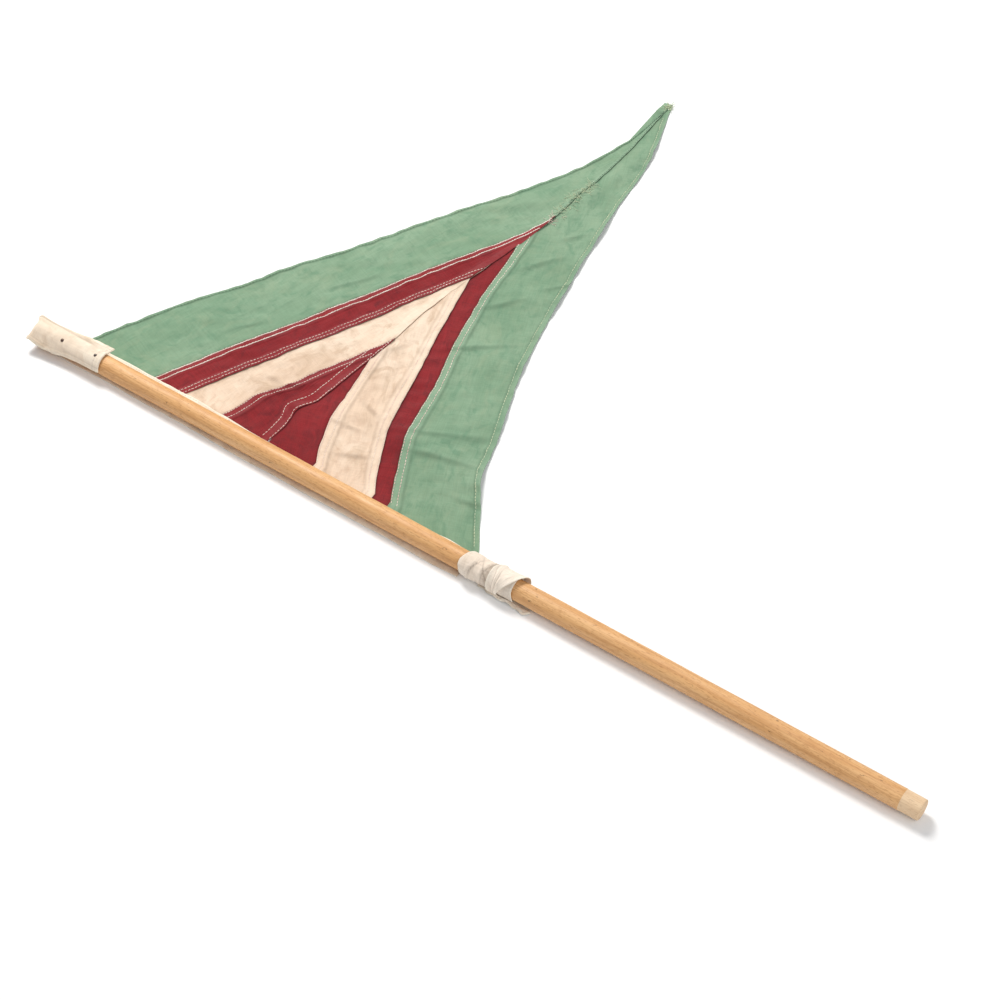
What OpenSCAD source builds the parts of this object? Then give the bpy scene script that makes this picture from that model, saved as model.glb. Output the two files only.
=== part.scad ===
// Hand-held signal pennant: a triangular cotton pennant of nested chevrons, sewn to a canvas
// heading tape, which is tacked over one end of a wooden staff and tied round it lower down.
// The origin is the centre of the staff's butt end. The staff runs along -X, the pennant flies
// towards +Y, and +Z is up from the surface that the whole flag lies on.

/* [Staff] */
// Length of the wooden staff
staff_l = 914; // [700:1:1200]
// Diameter of the varnished staff
staff_d = 19; // [15:0.5:28]
// Length of the bare, unvarnished tip at the butt
bare_l = 18; // [8:1:40]
// Depth of the varnish step down to the bare tip, on the radius
bare_step = 0.25; // [0.2:0.05:0.5]
// Rounding of the staff's two rims
rim_r = 1.2; // [0.5:0.1:3]

/* [Pennant] */
// Width of the pennant along the staff
hoist_w = 440; // [340:1:500]
// Distance from the pennant's top corner to the staff's far end
end_spare = 34; // [10:1:80]
// Reach of the pennant's point from its hoist edge
fly_l = 580; // [450:1:800]
// Shift of the point towards the butt, measured from the middle of the hoist
fly_skew = 60; // [0:1:120]
// Inward bow of the hem on the side of the staff's far end
bow_top = 28; // [0:1:40]
// Inward bow of the hem on the butt's side
bow_bottom = 30; // [0:1:40]
// Thickness of the cloth at a seam
cloth_t = 0.8; // [0.4:0.1:1.5]
// Half width at the hoist of the dark red centre triangle
centre_half = 54; // [30:1:75]
// Half width at the hoist out to the outer edge of the cream chevron
cream_half = 108; // [90:1:120]
// Half width at the hoist out to the outer edge of the red chevron
red_half = 135; // [125:1:160]
// Reach of the centre triangle's point from the hoist
centre_reach = 158; // [110:1:200]
// Reach of the cream chevron's point from the hoist
cream_reach = 264; // [220:1:310]
// Reach of the red chevron's point from the hoist
red_reach = 372; // [330:1:430]

/* [Heading tape] */
// Width of the canvas tape
tape_w = 38; // [34:1:48]
// Thickness of the doubled tape
tape_t = 1; // [0.6:0.1:2]
// Distance from the staff's axis to the tape's edge where the pennant is sewn on
tape_out = 25; // [20:1:35]
// Free gap between the tape's edge and the pennant's stiff cloth, taken up by the fold line
fold_gap = 1.5; // [1.4:0.1:3]

/* [End tab] */
// Length of the tab that lies back along the top of the staff
tab_l = 79; // [40:1:120]
// Clearance between canvas and wood
wrap_gap = 0.1; // [0.05:0.05:0.3]
// Distance from the staff's end to the first tack
tack_first = 33; // [15:1:60]
// Distance between the two tacks
tack_pitch = 38; // [10:1:60]

/* [Tacks] */
// Diameter of a tack's head
tack_head_d = 3.4; // [2.5:0.1:6]
// Height of a tack's head
tack_head_h = 1; // [0.6:0.1:2]
// Diameter of a tack's shank
tack_shank_d = 1.4; // [1:0.1:2.4]
// Length of a tack's shank below its head
tack_shank_l = 8; // [5:0.5:12]

/* [Tie] */
// Length along the staff of the inner turn
tie_l = 57; // [30:1:90]
// Width along the staff of the outer turn
tie_outer_w = 30; // [12:1:50]
// Lean of the outer turn, in degrees
tie_lean = 24; // [0:1:35]
// Length of the loose tail
tail_l = 46; // [20:1:80]
// Width of the tail that shows beside the staff
tail_w = 11; // [6:0.5:16]

/* [Stitching] */
// Width of a row of thread
thread_w = 0.7; // [0.3:0.1:1.2]
// Height of a row of thread above the cloth
thread_h = 0.3; // [0.1:0.1:0.5]
// Half the width of a felled lap: its folded edge lies this far from the seam's own line
lap_half = 5.5; // [4:0.5:8]
// Distance of a felled seam's first row from the folded edge
row_edge = 0.8; // [0.5:0.1:2]
// Distance between the two rows of a felled seam
row_pitch = 5.5; // [3:0.5:7]
// Distance from a hem's edge to its row of thread
hem_inset = 5; // [3:0.5:10]

/* [Hidden] */
$fn = 96;

staff_r = staff_d / 2;
bare_r = staff_r - bare_step;
tape_z = -staff_r;                      // top face of the heading tape
ground_z = tape_z - tape_t;             // surface that the flag lies on
hoist_y = tape_out + fold_gap;          // the pennant's sewn edge
hoist_half = hoist_w / 2;
handle_l = staff_l - end_spare - hoist_w; // from the butt end to the pennant's lower corner
hoist_mid_x = -handle_l - hoist_half;
cloth_top = ground_z + cloth_t;
wrap_in = staff_r + wrap_gap;           // inner radius of canvas that goes round the staff
wrap_out = staff_r + tape_t;            // outer radius of the first layer
tack_z = wrap_in + tape_t;              // crest of the end tab, where the tack heads sit
tack_x = [for (i = [0 : 1]) -staff_l + tack_first + i * tack_pitch];
tack_fit = 0.02;                        // clearance round a tack's shank
end_reach = staff_l + wrap_gap + tape_t;
steps = 12;                             // straight steps along one bowed seam
row_start = 3;                          // distance from the hoist at which a row of thread starts
seam_row_short = 18;                    // a felled seam's rows end this far short of its point
hem_row_short = 80;                     // and a hem's row this far, where the two hems draw close
tail_clear = 1;                         // clearance beside the sleeve where the tail passes it
top = -1;                               // side of the pennant towards the staff's far end
bottom = 1;                             // side of the pennant towards the butt

// ---------- Outlines of the pennant ----------

// Point of the centre line at a given reach from the hoist
function on_centre(reach) = [hoist_mid_x + fly_skew * reach / fly_l, hoist_y + reach];

// Share of the full bow at t: the top side bows most two thirds of the way out to the point,
// the bottom side a third of the way, as the cloth lies
function bow_share(side, t) = 6.75 * t * (1 - t) * (side == top ? t : 1 - t);

// Bow of a seam, which fades from the hem to the centre line, and faster on the top side
function bow_of(side, half) =
    side == top ? bow_top * pow(half / hoist_half, 3) : bow_bottom * half / hoist_half;

// Point of a seam on one side: t runs from 0 at the hoist to 1 at the centre line
function on_seam(side, half, reach, t) =
    let (start = [hoist_mid_x + side * half, hoist_y],
         end = on_centre(reach))
    start + (end - start) * t - [side * bow_of(side, half) * bow_share(side, t), 0];

function seam(side, half, reach) = [for (i = [0 : steps]) on_seam(side, half, reach, i / steps)];

// The same seam moved sideways by a distance, positive away from the centre line. It starts
// clear of the hoist and ends short of the seam's own point.
function beside(side, half, reach, shift, short) =
    let (from = row_start / reach,
         to = 1 - short / reach)
    [for (i = [0 : steps])
        let (t = from + (to - from) * i / steps,
             run = on_seam(side, half, reach, t + 0.01) - on_seam(side, half, reach, t - 0.01))
        on_seam(side, half, reach, t) + side * shift * [run.y, -run.x] / norm(run)];

function reversed(points) = [for (i = [len(points) - 1 : -1 : 0]) points[i]];

// ---------- Building blocks ----------

// Flat piece of cloth lying on the ground
module cloth(outline) {
    translate([0, 0, ground_z]) linear_extrude(cloth_t) polygon(outline);
}

// Row of thread on top of the cloth, along the line of points
module thread_row(points) {
    across = [for (i = [0 : len(points) - 1])
        let (run = points[min(i + 1, len(points) - 1)] - points[max(i - 1, 0)])
        [-run.y, run.x] / norm(run) * thread_w / 2];
    left = [for (i = [0 : len(points) - 1]) points[i] + across[i]];
    right = [for (i = [0 : len(points) - 1]) points[i] - across[i]];
    translate([0, 0, cloth_top]) linear_extrude(thread_h) polygon(concat(left, reversed(right)));
}

// Two rows of a felled seam. Its folded edge lies outwards of the seam's line on the top side
// and inwards on the bottom side, or the other way round where flip is -1.
module felled_rows(side, half, reach, flip = 1) {
    for (inset = [row_edge, row_edge + row_pitch])
        thread_row(beside(side, half, reach, -side * flip * (lap_half - inset), seam_row_short));
}

// Strip between two seams on one side, closed along the centre line
module chevron_half(side, outer_half, outer_reach, inner_half, inner_reach) {
    cloth(concat(seam(side, outer_half, outer_reach), reversed(seam(side, inner_half, inner_reach))));
}

// Extrudes a Y-Z section along X from one place to another
module along_staff(from_x, to_x) {
    translate([from_x, 0, 0]) rotate([90, 0, 90]) linear_extrude(to_x - from_x) children();
}

// ---------- Staff and what is fixed to it ----------

module staff() {
    rim = [for (a = [0 : 15 : 90]) [bare_r - rim_r + rim_r * sin(a), rim_r - rim_r * cos(a)]];
    far_rim = [for (a = [0 : 15 : 90])
        [staff_r - rim_r + rim_r * cos(a), staff_l - rim_r + rim_r * sin(a)]];
    color("goldenrod")
        difference() {
            rotate([0, -90, 0])
                rotate_extrude()
                    polygon(concat([[0, 0]], rim, [[bare_r, bare_l], [staff_r, bare_l]], far_rim,
                                   [[0, staff_l]]));
            tack_holes();
        }
}

// Holes that the tacks' shanks pass down
module tack_holes() {
    for (x = tack_x)
        translate([x, 0, tack_z - tack_shank_l - 2 * tack_fit])
            cylinder(d = tack_shank_d + 2 * tack_fit, h = tack_shank_l + tape_t);
}

module tack() {
    dome_h = tack_head_h / 2;
    color("dimgray") {
        cylinder(d = tack_head_d, h = tack_head_h - dome_h);
        translate([0, 0, tack_head_h - dome_h])
            cylinder(d1 = tack_head_d, d2 = tack_head_d * 0.6, h = dome_h);
        translate([0, 0, -tack_shank_l]) cylinder(d1 = tack_shank_d / 3, d2 = tack_shank_d, h = 2);
        translate([0, 0, 2 - tack_shank_l]) cylinder(d = tack_shank_d, h = tack_shank_l - 2);
    }
}

module tacks() {
    for (x = tack_x) translate([x, 0, tack_z]) tack();
}

// Doubled canvas band that runs under the staff
module heading_tape() {
    color("antiquewhite")
        translate([-staff_l, tape_out - tape_w, ground_z]) cube([staff_l - handle_l, tape_w, tape_t]);
}

// Far end of the band, folded up over the staff's end and laid back along its top
module end_tab() {
    skirt = max(1, (tape_w - PI * (wrap_in + tape_t / 2)) / 2);
    r = wrap_in + tape_t;
    color("antiquewhite")
        difference() {
            union() {
                along_staff(-end_reach, -staff_l + tab_l) saddle_section(skirt);
                along_staff(-end_reach, -staff_l - wrap_gap) {
                    circle(r);
                    translate([-r, ground_z]) square([2 * r, -ground_z]);
                }
            }
            tack_holes();
        }
}

// Upper half ring with a short skirt on each side
module saddle_section(skirt) {
    r = wrap_in + tape_t;
    difference() {
        circle(r);
        circle(wrap_in);
        translate([-2 * r, -2 * r]) square([4 * r, 2 * r]);
    }
    for (side = [-1, 1])
        translate([side * (wrap_in + tape_t / 2) - tape_t / 2, -skirt]) square([tape_t, skirt]);
}

// First layer of the tie: a snug sleeve beside the pennant's lower corner
module tie_turn_inner() {
    color("antiquewhite")
        along_staff(-handle_l, -handle_l + tie_l)
            difference() {
                circle(wrap_out);
                circle(wrap_in);
            }
}

// Second layer, leaning over the first and open underneath where the staff rests
module tie_turn_outer() {
    r_in = wrap_out + wrap_gap;
    r_out = r_in + tape_t;
    middle_x = -handle_l + tie_l * 0.7;
    color("linen")
        intersection() {
            along_staff(-handle_l, -handle_l + tie_l * 1.3)
                difference() {
                    circle(r_out);
                    circle(r_in);
                    translate([-r_out, -2 * r_out]) square([2 * r_out, 1.45 * r_out]);
                }
            translate([middle_x, 0, 0])
                rotate([0, 0, -tie_lean])
                    cube([tie_outer_w, 4 * r_out, 4 * r_out], center = true);
        }
}

// Loose end of the tie, lying on the near side and passing under the staff past the sleeve
module tie_tail() {
    tail_end = -handle_l + tie_l + 14;
    near = -tail_clear - sqrt(wrap_out * wrap_out - staff_r * staff_r);
    color("antiquewhite")
        translate([0, 0, ground_z])
            linear_extrude(tape_t)
                polygon([
                    [tail_end - tail_l, near], [tail_end - tail_l, near - tail_w * 0.7],
                    [tail_end - 8, near - tail_w], [tail_end, near - tail_w * 0.6],
                    [tail_end, -near], [-handle_l + tie_l + 1, -near], [-handle_l + tie_l + 1, near]
                ]);
}

// Row of thread that sews the pennant into the band
module heading_thread() {
    color("ivory")
        translate([-handle_l - hoist_w + 2, tape_out - 3, tape_z])
            cube([hoist_w - 4, thread_w, thread_h]);
}

// Row of thread across the tab's hemmed free end
module tab_thread() {
    r = wrap_in + tape_t;
    x = -staff_l + tab_l - 5;
    color("ivory")
        along_staff(x, x + thread_w)
            difference() {
                circle(r + thread_h);
                circle(r);
                translate([-2 * r, -2 * r]) square([4 * r, 2 * r]);
            }
}

// ---------- Pennant ----------

module green_half(side) {
    color("mediumaquamarine")
        chevron_half(side, hoist_half, fly_l, red_half, red_reach);
}

module red_half_strip(side) {
    color("firebrick") chevron_half(side, red_half, red_reach, cream_half, cream_reach);
}

module cream_half_strip(side) {
    color("bisque") chevron_half(side, cream_half, cream_reach, centre_half, centre_reach);
}

module centre_half_triangle(side) {
    color("firebrick") cloth(concat([on_centre(0)], seam(side, centre_half, centre_reach)));
}

// Two rows down the middle of the centre triangle, on the lap's side towards the far end
module centre_seam_thread() {
    color("ivory")
        for (inset = [row_edge, row_edge + row_pitch])
            thread_row([for (reach = [row_start, centre_reach * 0.7])
                on_centre(reach) - [inset, 0]]);
}

// Single row along the seam that joins the two green halves out to the point
module point_seam_thread() {
    color("darkseagreen")
        thread_row([on_centre(red_reach + 15), on_centre(fly_l - 12)]);
}

module hem_thread(side) {
    color("ivory") thread_row(beside(side, hoist_half, fly_l, -hem_inset, hem_row_short));
}

staff();
heading_tape();
end_tab();
tacks();
tie_turn_inner();
tie_turn_outer();
tie_tail();
heading_thread();
tab_thread();
green_half(top);  // green_panel_top
red_half_strip(top);  // red_panel_top
cream_half_strip(top);  // cream_panel_top
centre_half_triangle(top);  // centre_panel_top
centre_half_triangle(bottom);  // centre_panel_bottom
cream_half_strip(bottom);  // cream_panel_bottom
red_half_strip(bottom);  // red_panel_bottom
green_half(bottom);  // green_panel_bottom
centre_seam_thread();
point_seam_thread();
color("ivory") felled_rows(top, centre_half, centre_reach);  // centre_cream_thread_top
color("ivory") felled_rows(top, cream_half, cream_reach, flip = -1);  // cream_red_thread_top
color("ivory") felled_rows(top, red_half, red_reach);  // red_green_thread_top
color("ivory") felled_rows(bottom, centre_half, centre_reach);  // centre_cream_thread_bottom
color("ivory") felled_rows(bottom, cream_half, cream_reach, flip = -1);  // cream_red_thread_bottom
color("ivory") felled_rows(bottom, red_half, red_reach);  // red_green_thread_bottom
hem_thread(top);  // hem_thread_top
hem_thread(bottom);  // hem_thread_bottom
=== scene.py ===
"""Looks of a hand-held signal pennant: a triangular cotton pennant of nested chevrons on a
varnished staff, with a canvas heading tape that is tacked over the staff's end and tied round it.

Sizes in this file are in millimetres and become metres where a mesh is made. The origin is the
centre of the staff's butt end. The staff runs along -X, the pennant flies towards +Y, and +Z is
up from the surface that the flag lies on.
"""

import logging
import math
from dataclasses import dataclass, field
from enum import Enum

import bpy
import numpy as np
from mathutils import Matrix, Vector
from mathutils.bvhtree import BVHTree


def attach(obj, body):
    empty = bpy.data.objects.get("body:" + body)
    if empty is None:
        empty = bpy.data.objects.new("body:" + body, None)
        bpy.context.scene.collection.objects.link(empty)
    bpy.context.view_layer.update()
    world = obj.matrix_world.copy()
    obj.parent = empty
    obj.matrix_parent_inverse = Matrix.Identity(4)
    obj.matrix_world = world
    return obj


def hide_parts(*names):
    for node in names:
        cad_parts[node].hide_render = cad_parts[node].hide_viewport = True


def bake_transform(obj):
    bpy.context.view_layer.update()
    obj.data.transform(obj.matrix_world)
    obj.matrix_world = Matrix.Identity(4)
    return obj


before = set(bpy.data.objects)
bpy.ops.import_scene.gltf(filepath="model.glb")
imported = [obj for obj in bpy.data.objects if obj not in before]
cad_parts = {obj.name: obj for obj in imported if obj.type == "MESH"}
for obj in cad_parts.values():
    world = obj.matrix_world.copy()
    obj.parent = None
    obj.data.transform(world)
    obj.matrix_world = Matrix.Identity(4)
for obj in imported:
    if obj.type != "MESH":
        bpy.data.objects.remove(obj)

MM = 0.001
STAFF_BODY = "staff_assembly"
PENNANT_BODY = "pennant"
LOG = logging.getLogger("pennant")
ABOVE = 100.0  # height, in millimetres, from which surfaces are looked down on
NO_EDGE = 99.0  # distance, in millimetres, given where there is no edge of the kind asked about

Array = np.ndarray
Colour = tuple[float, float, float]
Socket = bpy.types.NodeSocket
Piece = bpy.types.Object


# ---------- Numbers ----------


def smooth(low: float, high: float, value: Array) -> Array:
    """Smooth step from 0 at low to 1 at high.

    Args:
        low: Value up to which the result is 0.
        high: Value from which the result is 1.
        value: Where to read the step.

    Returns:
        The step's height at each value.
    """
    share = np.clip((np.asarray(value, float) - low) / (high - low), 0.0, 1.0)
    return share * share * (3.0 - 2.0 * share)


def hump(value: Array, centre: float, spread: float) -> Array:
    """Bell curve of height 1 at centre, which has fallen to 0.37 one spread away."""
    return np.exp(-(((np.asarray(value, float) - centre) / spread) ** 2))


def rounded(distance: Array, radius: float, least: float = 0.03) -> Array:
    """Share of a sheet's full thickness near its rounded edge.

    Args:
        distance: Distance from the edge.
        radius: Distance over which the edge is rounded.
        least: Square of the smallest share, so that the edge keeps a thickness.

    Returns:
        The share at each place.
    """
    return np.sqrt(np.clip(1 - (1 - np.clip(distance / radius, 0, 1)) ** 2, least, 1))


@dataclass(frozen=True)
class Wander:
    """Smooth random field of height about 1, made of plane waves in random directions."""

    seed: int
    size: float
    waves: int = 9

    def at(self, x: Array, y: Array) -> Array:
        """Height of the field.

        Args:
            x: Places along the first axis.
            y: Places along the second axis.

        Returns:
            The field's height at each place.
        """
        draw = np.random.default_rng(self.seed)
        total = np.zeros(np.broadcast(x, y).shape)
        for _ in range(self.waves):
            angle, phase = draw.uniform(0, 2 * math.pi, 2)
            pitch = self.size * draw.uniform(0.7, 1.5)
            total += np.cos((x * math.cos(angle) + y * math.sin(angle)) * 2 * math.pi / pitch + phase)
        return total / math.sqrt(self.waves / 2)


# ---------- Meshes ----------


def new_object(name: str, mesh: bpy.types.Mesh) -> Piece:
    """Puts a mesh into the scene as an object at the origin.

    Args:
        name: Name of the object.
        mesh: Its mesh.

    Returns:
        The object.
    """
    made = bpy.data.objects.new(name, mesh)
    bpy.context.scene.collection.objects.link(made)
    return made


def mesh_from(name: str, points: Array, faces: list[tuple[int, ...]]) -> bpy.types.Mesh:
    """Smooth-shaded mesh whose faces point outwards.

    Args:
        name: Name of the mesh.
        points: Corners, in millimetres.
        faces: Corner numbers of each face, all turning the same way round.

    Returns:
        The mesh, in metres.
    """
    corners = np.asarray(points, float) * MM
    middle = corners.mean(axis=0)
    volume = 0.0
    for face in faces:
        a = corners[face[0]] - middle
        for second, third in zip(face[1:-1], face[2:]):
            volume += float(np.dot(a, np.cross(corners[second] - middle, corners[third] - middle)))
    if volume < 0:
        faces = [tuple(reversed(face)) for face in faces]
    mesh = bpy.data.meshes.new(name)
    mesh.from_pydata(corners.tolist(), [], faces)
    mesh.polygons.foreach_set("use_smooth", np.ones(len(faces), bool))
    mesh.update()
    return mesh


def shell(name: str, upper: Array, lower: Array, cloth: Array, **marks: Array) -> Piece:
    """Closed sheet between two grids of points.

    Args:
        name: Name of the piece.
        upper: Rows by columns of points of the upper face.
        lower: Points of the lower face, in the same layout.
        cloth: Where each point lies on the flat cloth, in millimetres, kept as the UV map.
        **marks: Point attributes for the materials, in the same layout.

    Returns:
        The sheet as an object.
    """
    rows, columns = upper.shape[:2]
    count = rows * columns
    number = np.arange(count).reshape(rows, columns)
    quads = np.stack([number[:-1, :-1], number[1:, :-1], number[1:, 1:], number[:-1, 1:]], -1).reshape(-1, 4)
    rim = np.concatenate([number[0, :-1], number[:-1, -1], number[-1, :0:-1], number[:0:-1, 0]])
    after = np.roll(rim, -1)
    walls = np.stack([rim, after, after + count, rim + count], -1)
    faces = [tuple(face) for face in np.concatenate([quads, quads[:, ::-1] + count, walls]).tolist()]
    mesh = mesh_from(name, np.concatenate([upper.reshape(-1, 3), lower.reshape(-1, 3)]), faces)
    layer = mesh.uv_layers.new(name="cloth")
    where = np.zeros(len(mesh.loops), np.int32)
    mesh.loops.foreach_get("vertex_index", where)
    flat = np.concatenate([cloth.reshape(-1, 2)] * 2)
    layer.data.foreach_set("uv", flat[where].astype(np.float32).ravel())
    for mark, values in marks.items():
        attribute = mesh.attributes.new(mark, "FLOAT", "POINT")
        attribute.data.foreach_set("value", np.concatenate([values.ravel()] * 2).astype(np.float32))
    return new_object(name, mesh)


def normals_of(grid: Array) -> Array:
    """Unit normal of a grid of points at each of them."""
    across = np.cross(np.gradient(grid, axis=0), np.gradient(grid, axis=1))
    return across / np.maximum(np.linalg.norm(across, axis=2, keepdims=True), 1e-9)


def lathe(name: str, profile: list[tuple[float, float]], segments: int, centre: Vector,
          axis: Vector) -> bpy.types.Mesh:
    """Solid turned from a profile.

    Args:
        name: Name of the mesh.
        profile: Pairs of place along the axis and radius, the first and last of radius 0.
        segments: Number of faces round it.
        centre: Start of the axis.
        axis: Direction of the axis, of length 1.

    Returns:
        The closed mesh.
    """
    side = axis.orthogonal().normalized()
    other = axis.cross(side)
    points: list[Vector] = []
    for along, radius in profile[1:-1]:
        for step in range(segments):
            angle = 2 * math.pi * step / segments
            points.append(centre + axis * along + (side * math.cos(angle) + other * math.sin(angle)) * radius)
    faces: list[tuple[int, ...]] = []
    rings = len(profile) - 2
    for ring in range(rings - 1):
        for step in range(segments):
            a, b = ring * segments + step, ring * segments + (step + 1) % segments
            faces.append((a, b, b + segments, a + segments))
    for place, ring, turn in ((profile[0][0], 0, 1), (profile[-1][0], rings - 1, -1)):
        pole = len(points)
        points.append(centre + axis * place)
        for step in range(segments):
            a, b = ring * segments + step, ring * segments + (step + 1) % segments
            faces.append((pole, b, a)[::turn])
    return mesh_from(name, np.array(points), faces)


def flat_area(grid: Array) -> float:
    """Area of the quads of a grid of points in a plane.

    Args:
        grid: Rows by columns of X and Y, in millimetres.

    Returns:
        The area in square metres.
    """
    a = grid[1:, 1:] - grid[:-1, :-1]
    b = grid[1:, :-1] - grid[:-1, 1:]
    return float(np.abs(a[..., 0] * b[..., 1] - a[..., 1] * b[..., 0]).sum() / 2 * MM * MM)


def search_tree(pieces: list[Piece]) -> BVHTree:
    """Search tree of the faces of some pieces, to lay stitches on.

    Args:
        pieces: The pieces.

    Returns:
        Their search tree.
    """
    points: list[Vector] = []
    faces: list[tuple[int, ...]] = []
    for piece in pieces:
        first = len(points)
        points += [vertex.co.copy() for vertex in piece.data.vertices]
        faces += [tuple(first + i for i in face.vertices) for face in piece.data.polygons]
    return BVHTree.FromPolygons(points, faces)


def landed(surface: BVHTree, places: Array) -> list[Vector]:
    """Points at which places meet a surface that is seen from above.

    Args:
        surface: Search tree of the surface.
        places: Rows of X and Y, in millimetres.

    Returns:
        The points in metres, without the places that miss.
    """
    hits = [surface.ray_cast(Vector((x, y, ABOVE)) * MM, Vector((0, 0, -1)))[0] for x, y in places]
    return [hit for hit in hits if hit is not None]


def fit_to_staff(piece: Piece, node: str) -> None:
    """Puts a piece in a CAD node's place on the staff's body.

    Args:
        piece: The piece.
        node: Node that it stands for.
    """
    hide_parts(node)
    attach(piece, STAFF_BODY)


# ---------- Node trees ----------


class Wiring:
    """Adds nodes to a tree and joins them up."""

    def __init__(self, tree: bpy.types.NodeTree) -> None:
        """Starts on a tree."""
        self.tree = tree

    def add(self, kind: str, inputs: dict | None = None, **settings: object) -> bpy.types.Node:
        """Adds a node.

        Args:
            kind: Type of the node.
            inputs: Socket name or number to the value that is set, or the socket that is linked.
            **settings: Properties of the node.

        Returns:
            The node.
        """
        node = self.tree.nodes.new(kind)
        for name, value in settings.items():
            setattr(node, name, value)
        for name, value in (inputs or {}).items():
            if isinstance(value, bpy.types.NodeSocket):
                self.tree.links.new(value, node.inputs[name])
            else:
                node.inputs[name].default_value = value
        return node

    def sum(self, operation: str, first: Socket | float, second: Socket | float = 0.0) -> Socket:
        """Result of a Math node."""
        return self.add("ShaderNodeMath", {0: first, 1: second}, operation=operation).outputs[0]

    def span(self, value: Socket, low: float, high: float, start: float = 0.0, end: float = 1.0) -> Socket:
        """Value carried smoothly from low..high to start..end."""
        inputs = {0: value, 1: low, 2: high, 3: start, 4: end}
        return self.add("ShaderNodeMapRange", inputs, interpolation_type="SMOOTHSTEP").outputs[0]

    def scaled(self, vector: Socket, by: Colour, shift: float = 0.0) -> Socket:
        """Vector times one number on each axis, moved by a shift that picks another part of a pattern."""
        inputs = {"Vector": vector, "Location": (shift, shift * 0.7, shift * 0.3), "Scale": by}
        return self.add("ShaderNodeMapping", inputs).outputs[0]

    def noise(self, vector: Socket, detail: float = 2.0, rough: float = 0.5, bend: float = 0.0) -> Socket:
        """Noise pattern of size 1."""
        inputs = {"Vector": vector, "Scale": 1.0, "Detail": detail, "Roughness": rough, "Distortion": bend}
        return self.add("ShaderNodeTexNoise", inputs).outputs["Fac"]

    def mix(self, share: Socket | float, first: Socket | tuple, second: Socket | tuple,
            blend: str = "MIX") -> Socket:
        """Blend of two colours."""
        node = self.add("ShaderNodeMix", {0: share, 6: opaque(first), 7: opaque(second)},
                        data_type="RGBA", blend_type=blend)
        return node.outputs[2]

    def spot_noise(self, size: Colour, shift: float = 0.0, detail: float = 2.0, rough: float = 0.5,
                   bend: float = 0.0) -> Socket:
        """Noise on object coordinates, scaled by one number on each axis."""
        place = self.add("ShaderNodeTexCoord").outputs["Object"]
        return self.noise(self.scaled(place, size, shift), detail, rough, bend)

    def finish(self, shader: bpy.types.Node, colour: Socket, rough: Socket, height: Socket, depth: float,
               strength: float) -> None:
        """Joins the patterns of a finish to its shader.

        Args:
            shader: The shader.
            colour: Its colour.
            rough: Its roughness.
            height: Height of its fine relief.
            depth: Depth of the relief, in metres.
            strength: Strength of the relief.
        """
        bump = self.add("ShaderNodeBump", {"Height": height, "Distance": depth, "Strength": strength})
        self.tree.links.new(colour, shader.inputs["Base Color"])
        self.tree.links.new(bump.outputs[0], shader.inputs["Normal"])
        self.tree.links.new(rough, shader.inputs["Roughness"])

    def tube(self, curve: Socket, sides: int, radius: Socket) -> Socket:
        """Capped tube along a curve.

        Args:
            curve: The curve.
            sides: Number of faces round the tube.
            radius: Its radius.

        Returns:
            The tube's geometry.
        """
        ring = {"Resolution": sides, "Radius": radius}
        section = self.add("GeometryNodeCurvePrimitiveCircle", ring).outputs[0]
        inputs = {"Curve": curve, "Profile Curve": section, "Fill Caps": True}
        return self.add("GeometryNodeCurveToMesh", inputs).outputs[0]

    def end_tree(self, geometry: Socket, material: Socket) -> bpy.types.NodeTree:
        """Gives a tree's geometry its material and sends it out.

        Args:
            geometry: What the tree has made.
            material: Its material.

        Returns:
            The finished tree.
        """
        dressed = self.add("GeometryNodeSetMaterial", {"Geometry": geometry, "Material": material})
        self.add("NodeGroupOutput", {0: dressed.outputs[0]})
        return self.tree

    def random(self, low: Colour | Socket, high: Colour, seed: Socket) -> Socket:
        """Random vector between two others."""
        inputs = {"Min": low, "Max": high, "Seed": seed}
        return self.add("FunctionNodeRandomValue", inputs, data_type="FLOAT_VECTOR").outputs[0]

    def grey(self, value: Socket) -> Socket:
        """Number as a grey colour."""
        return self.add("ShaderNodeCombineColor", {0: value, 1: value, 2: value}).outputs[0]


def opaque(colour: Socket | tuple) -> Socket | tuple:
    """Colour with an alpha of 1, and a socket as it is."""
    return colour if isinstance(colour, bpy.types.NodeSocket) else (*colour, 1.0)


def start_material(name: str) -> tuple[bpy.types.Material, Wiring, bpy.types.Node]:
    """New material with its shader.

    Args:
        name: Name of the material.

    Returns:
        The material, the wiring of its tree, and its Principled shader.
    """
    material = bpy.data.materials.new(name)
    material.use_nodes = True
    return material, Wiring(material.node_tree), material.node_tree.nodes["Principled BSDF"]


# ---------- Finishes ----------


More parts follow.
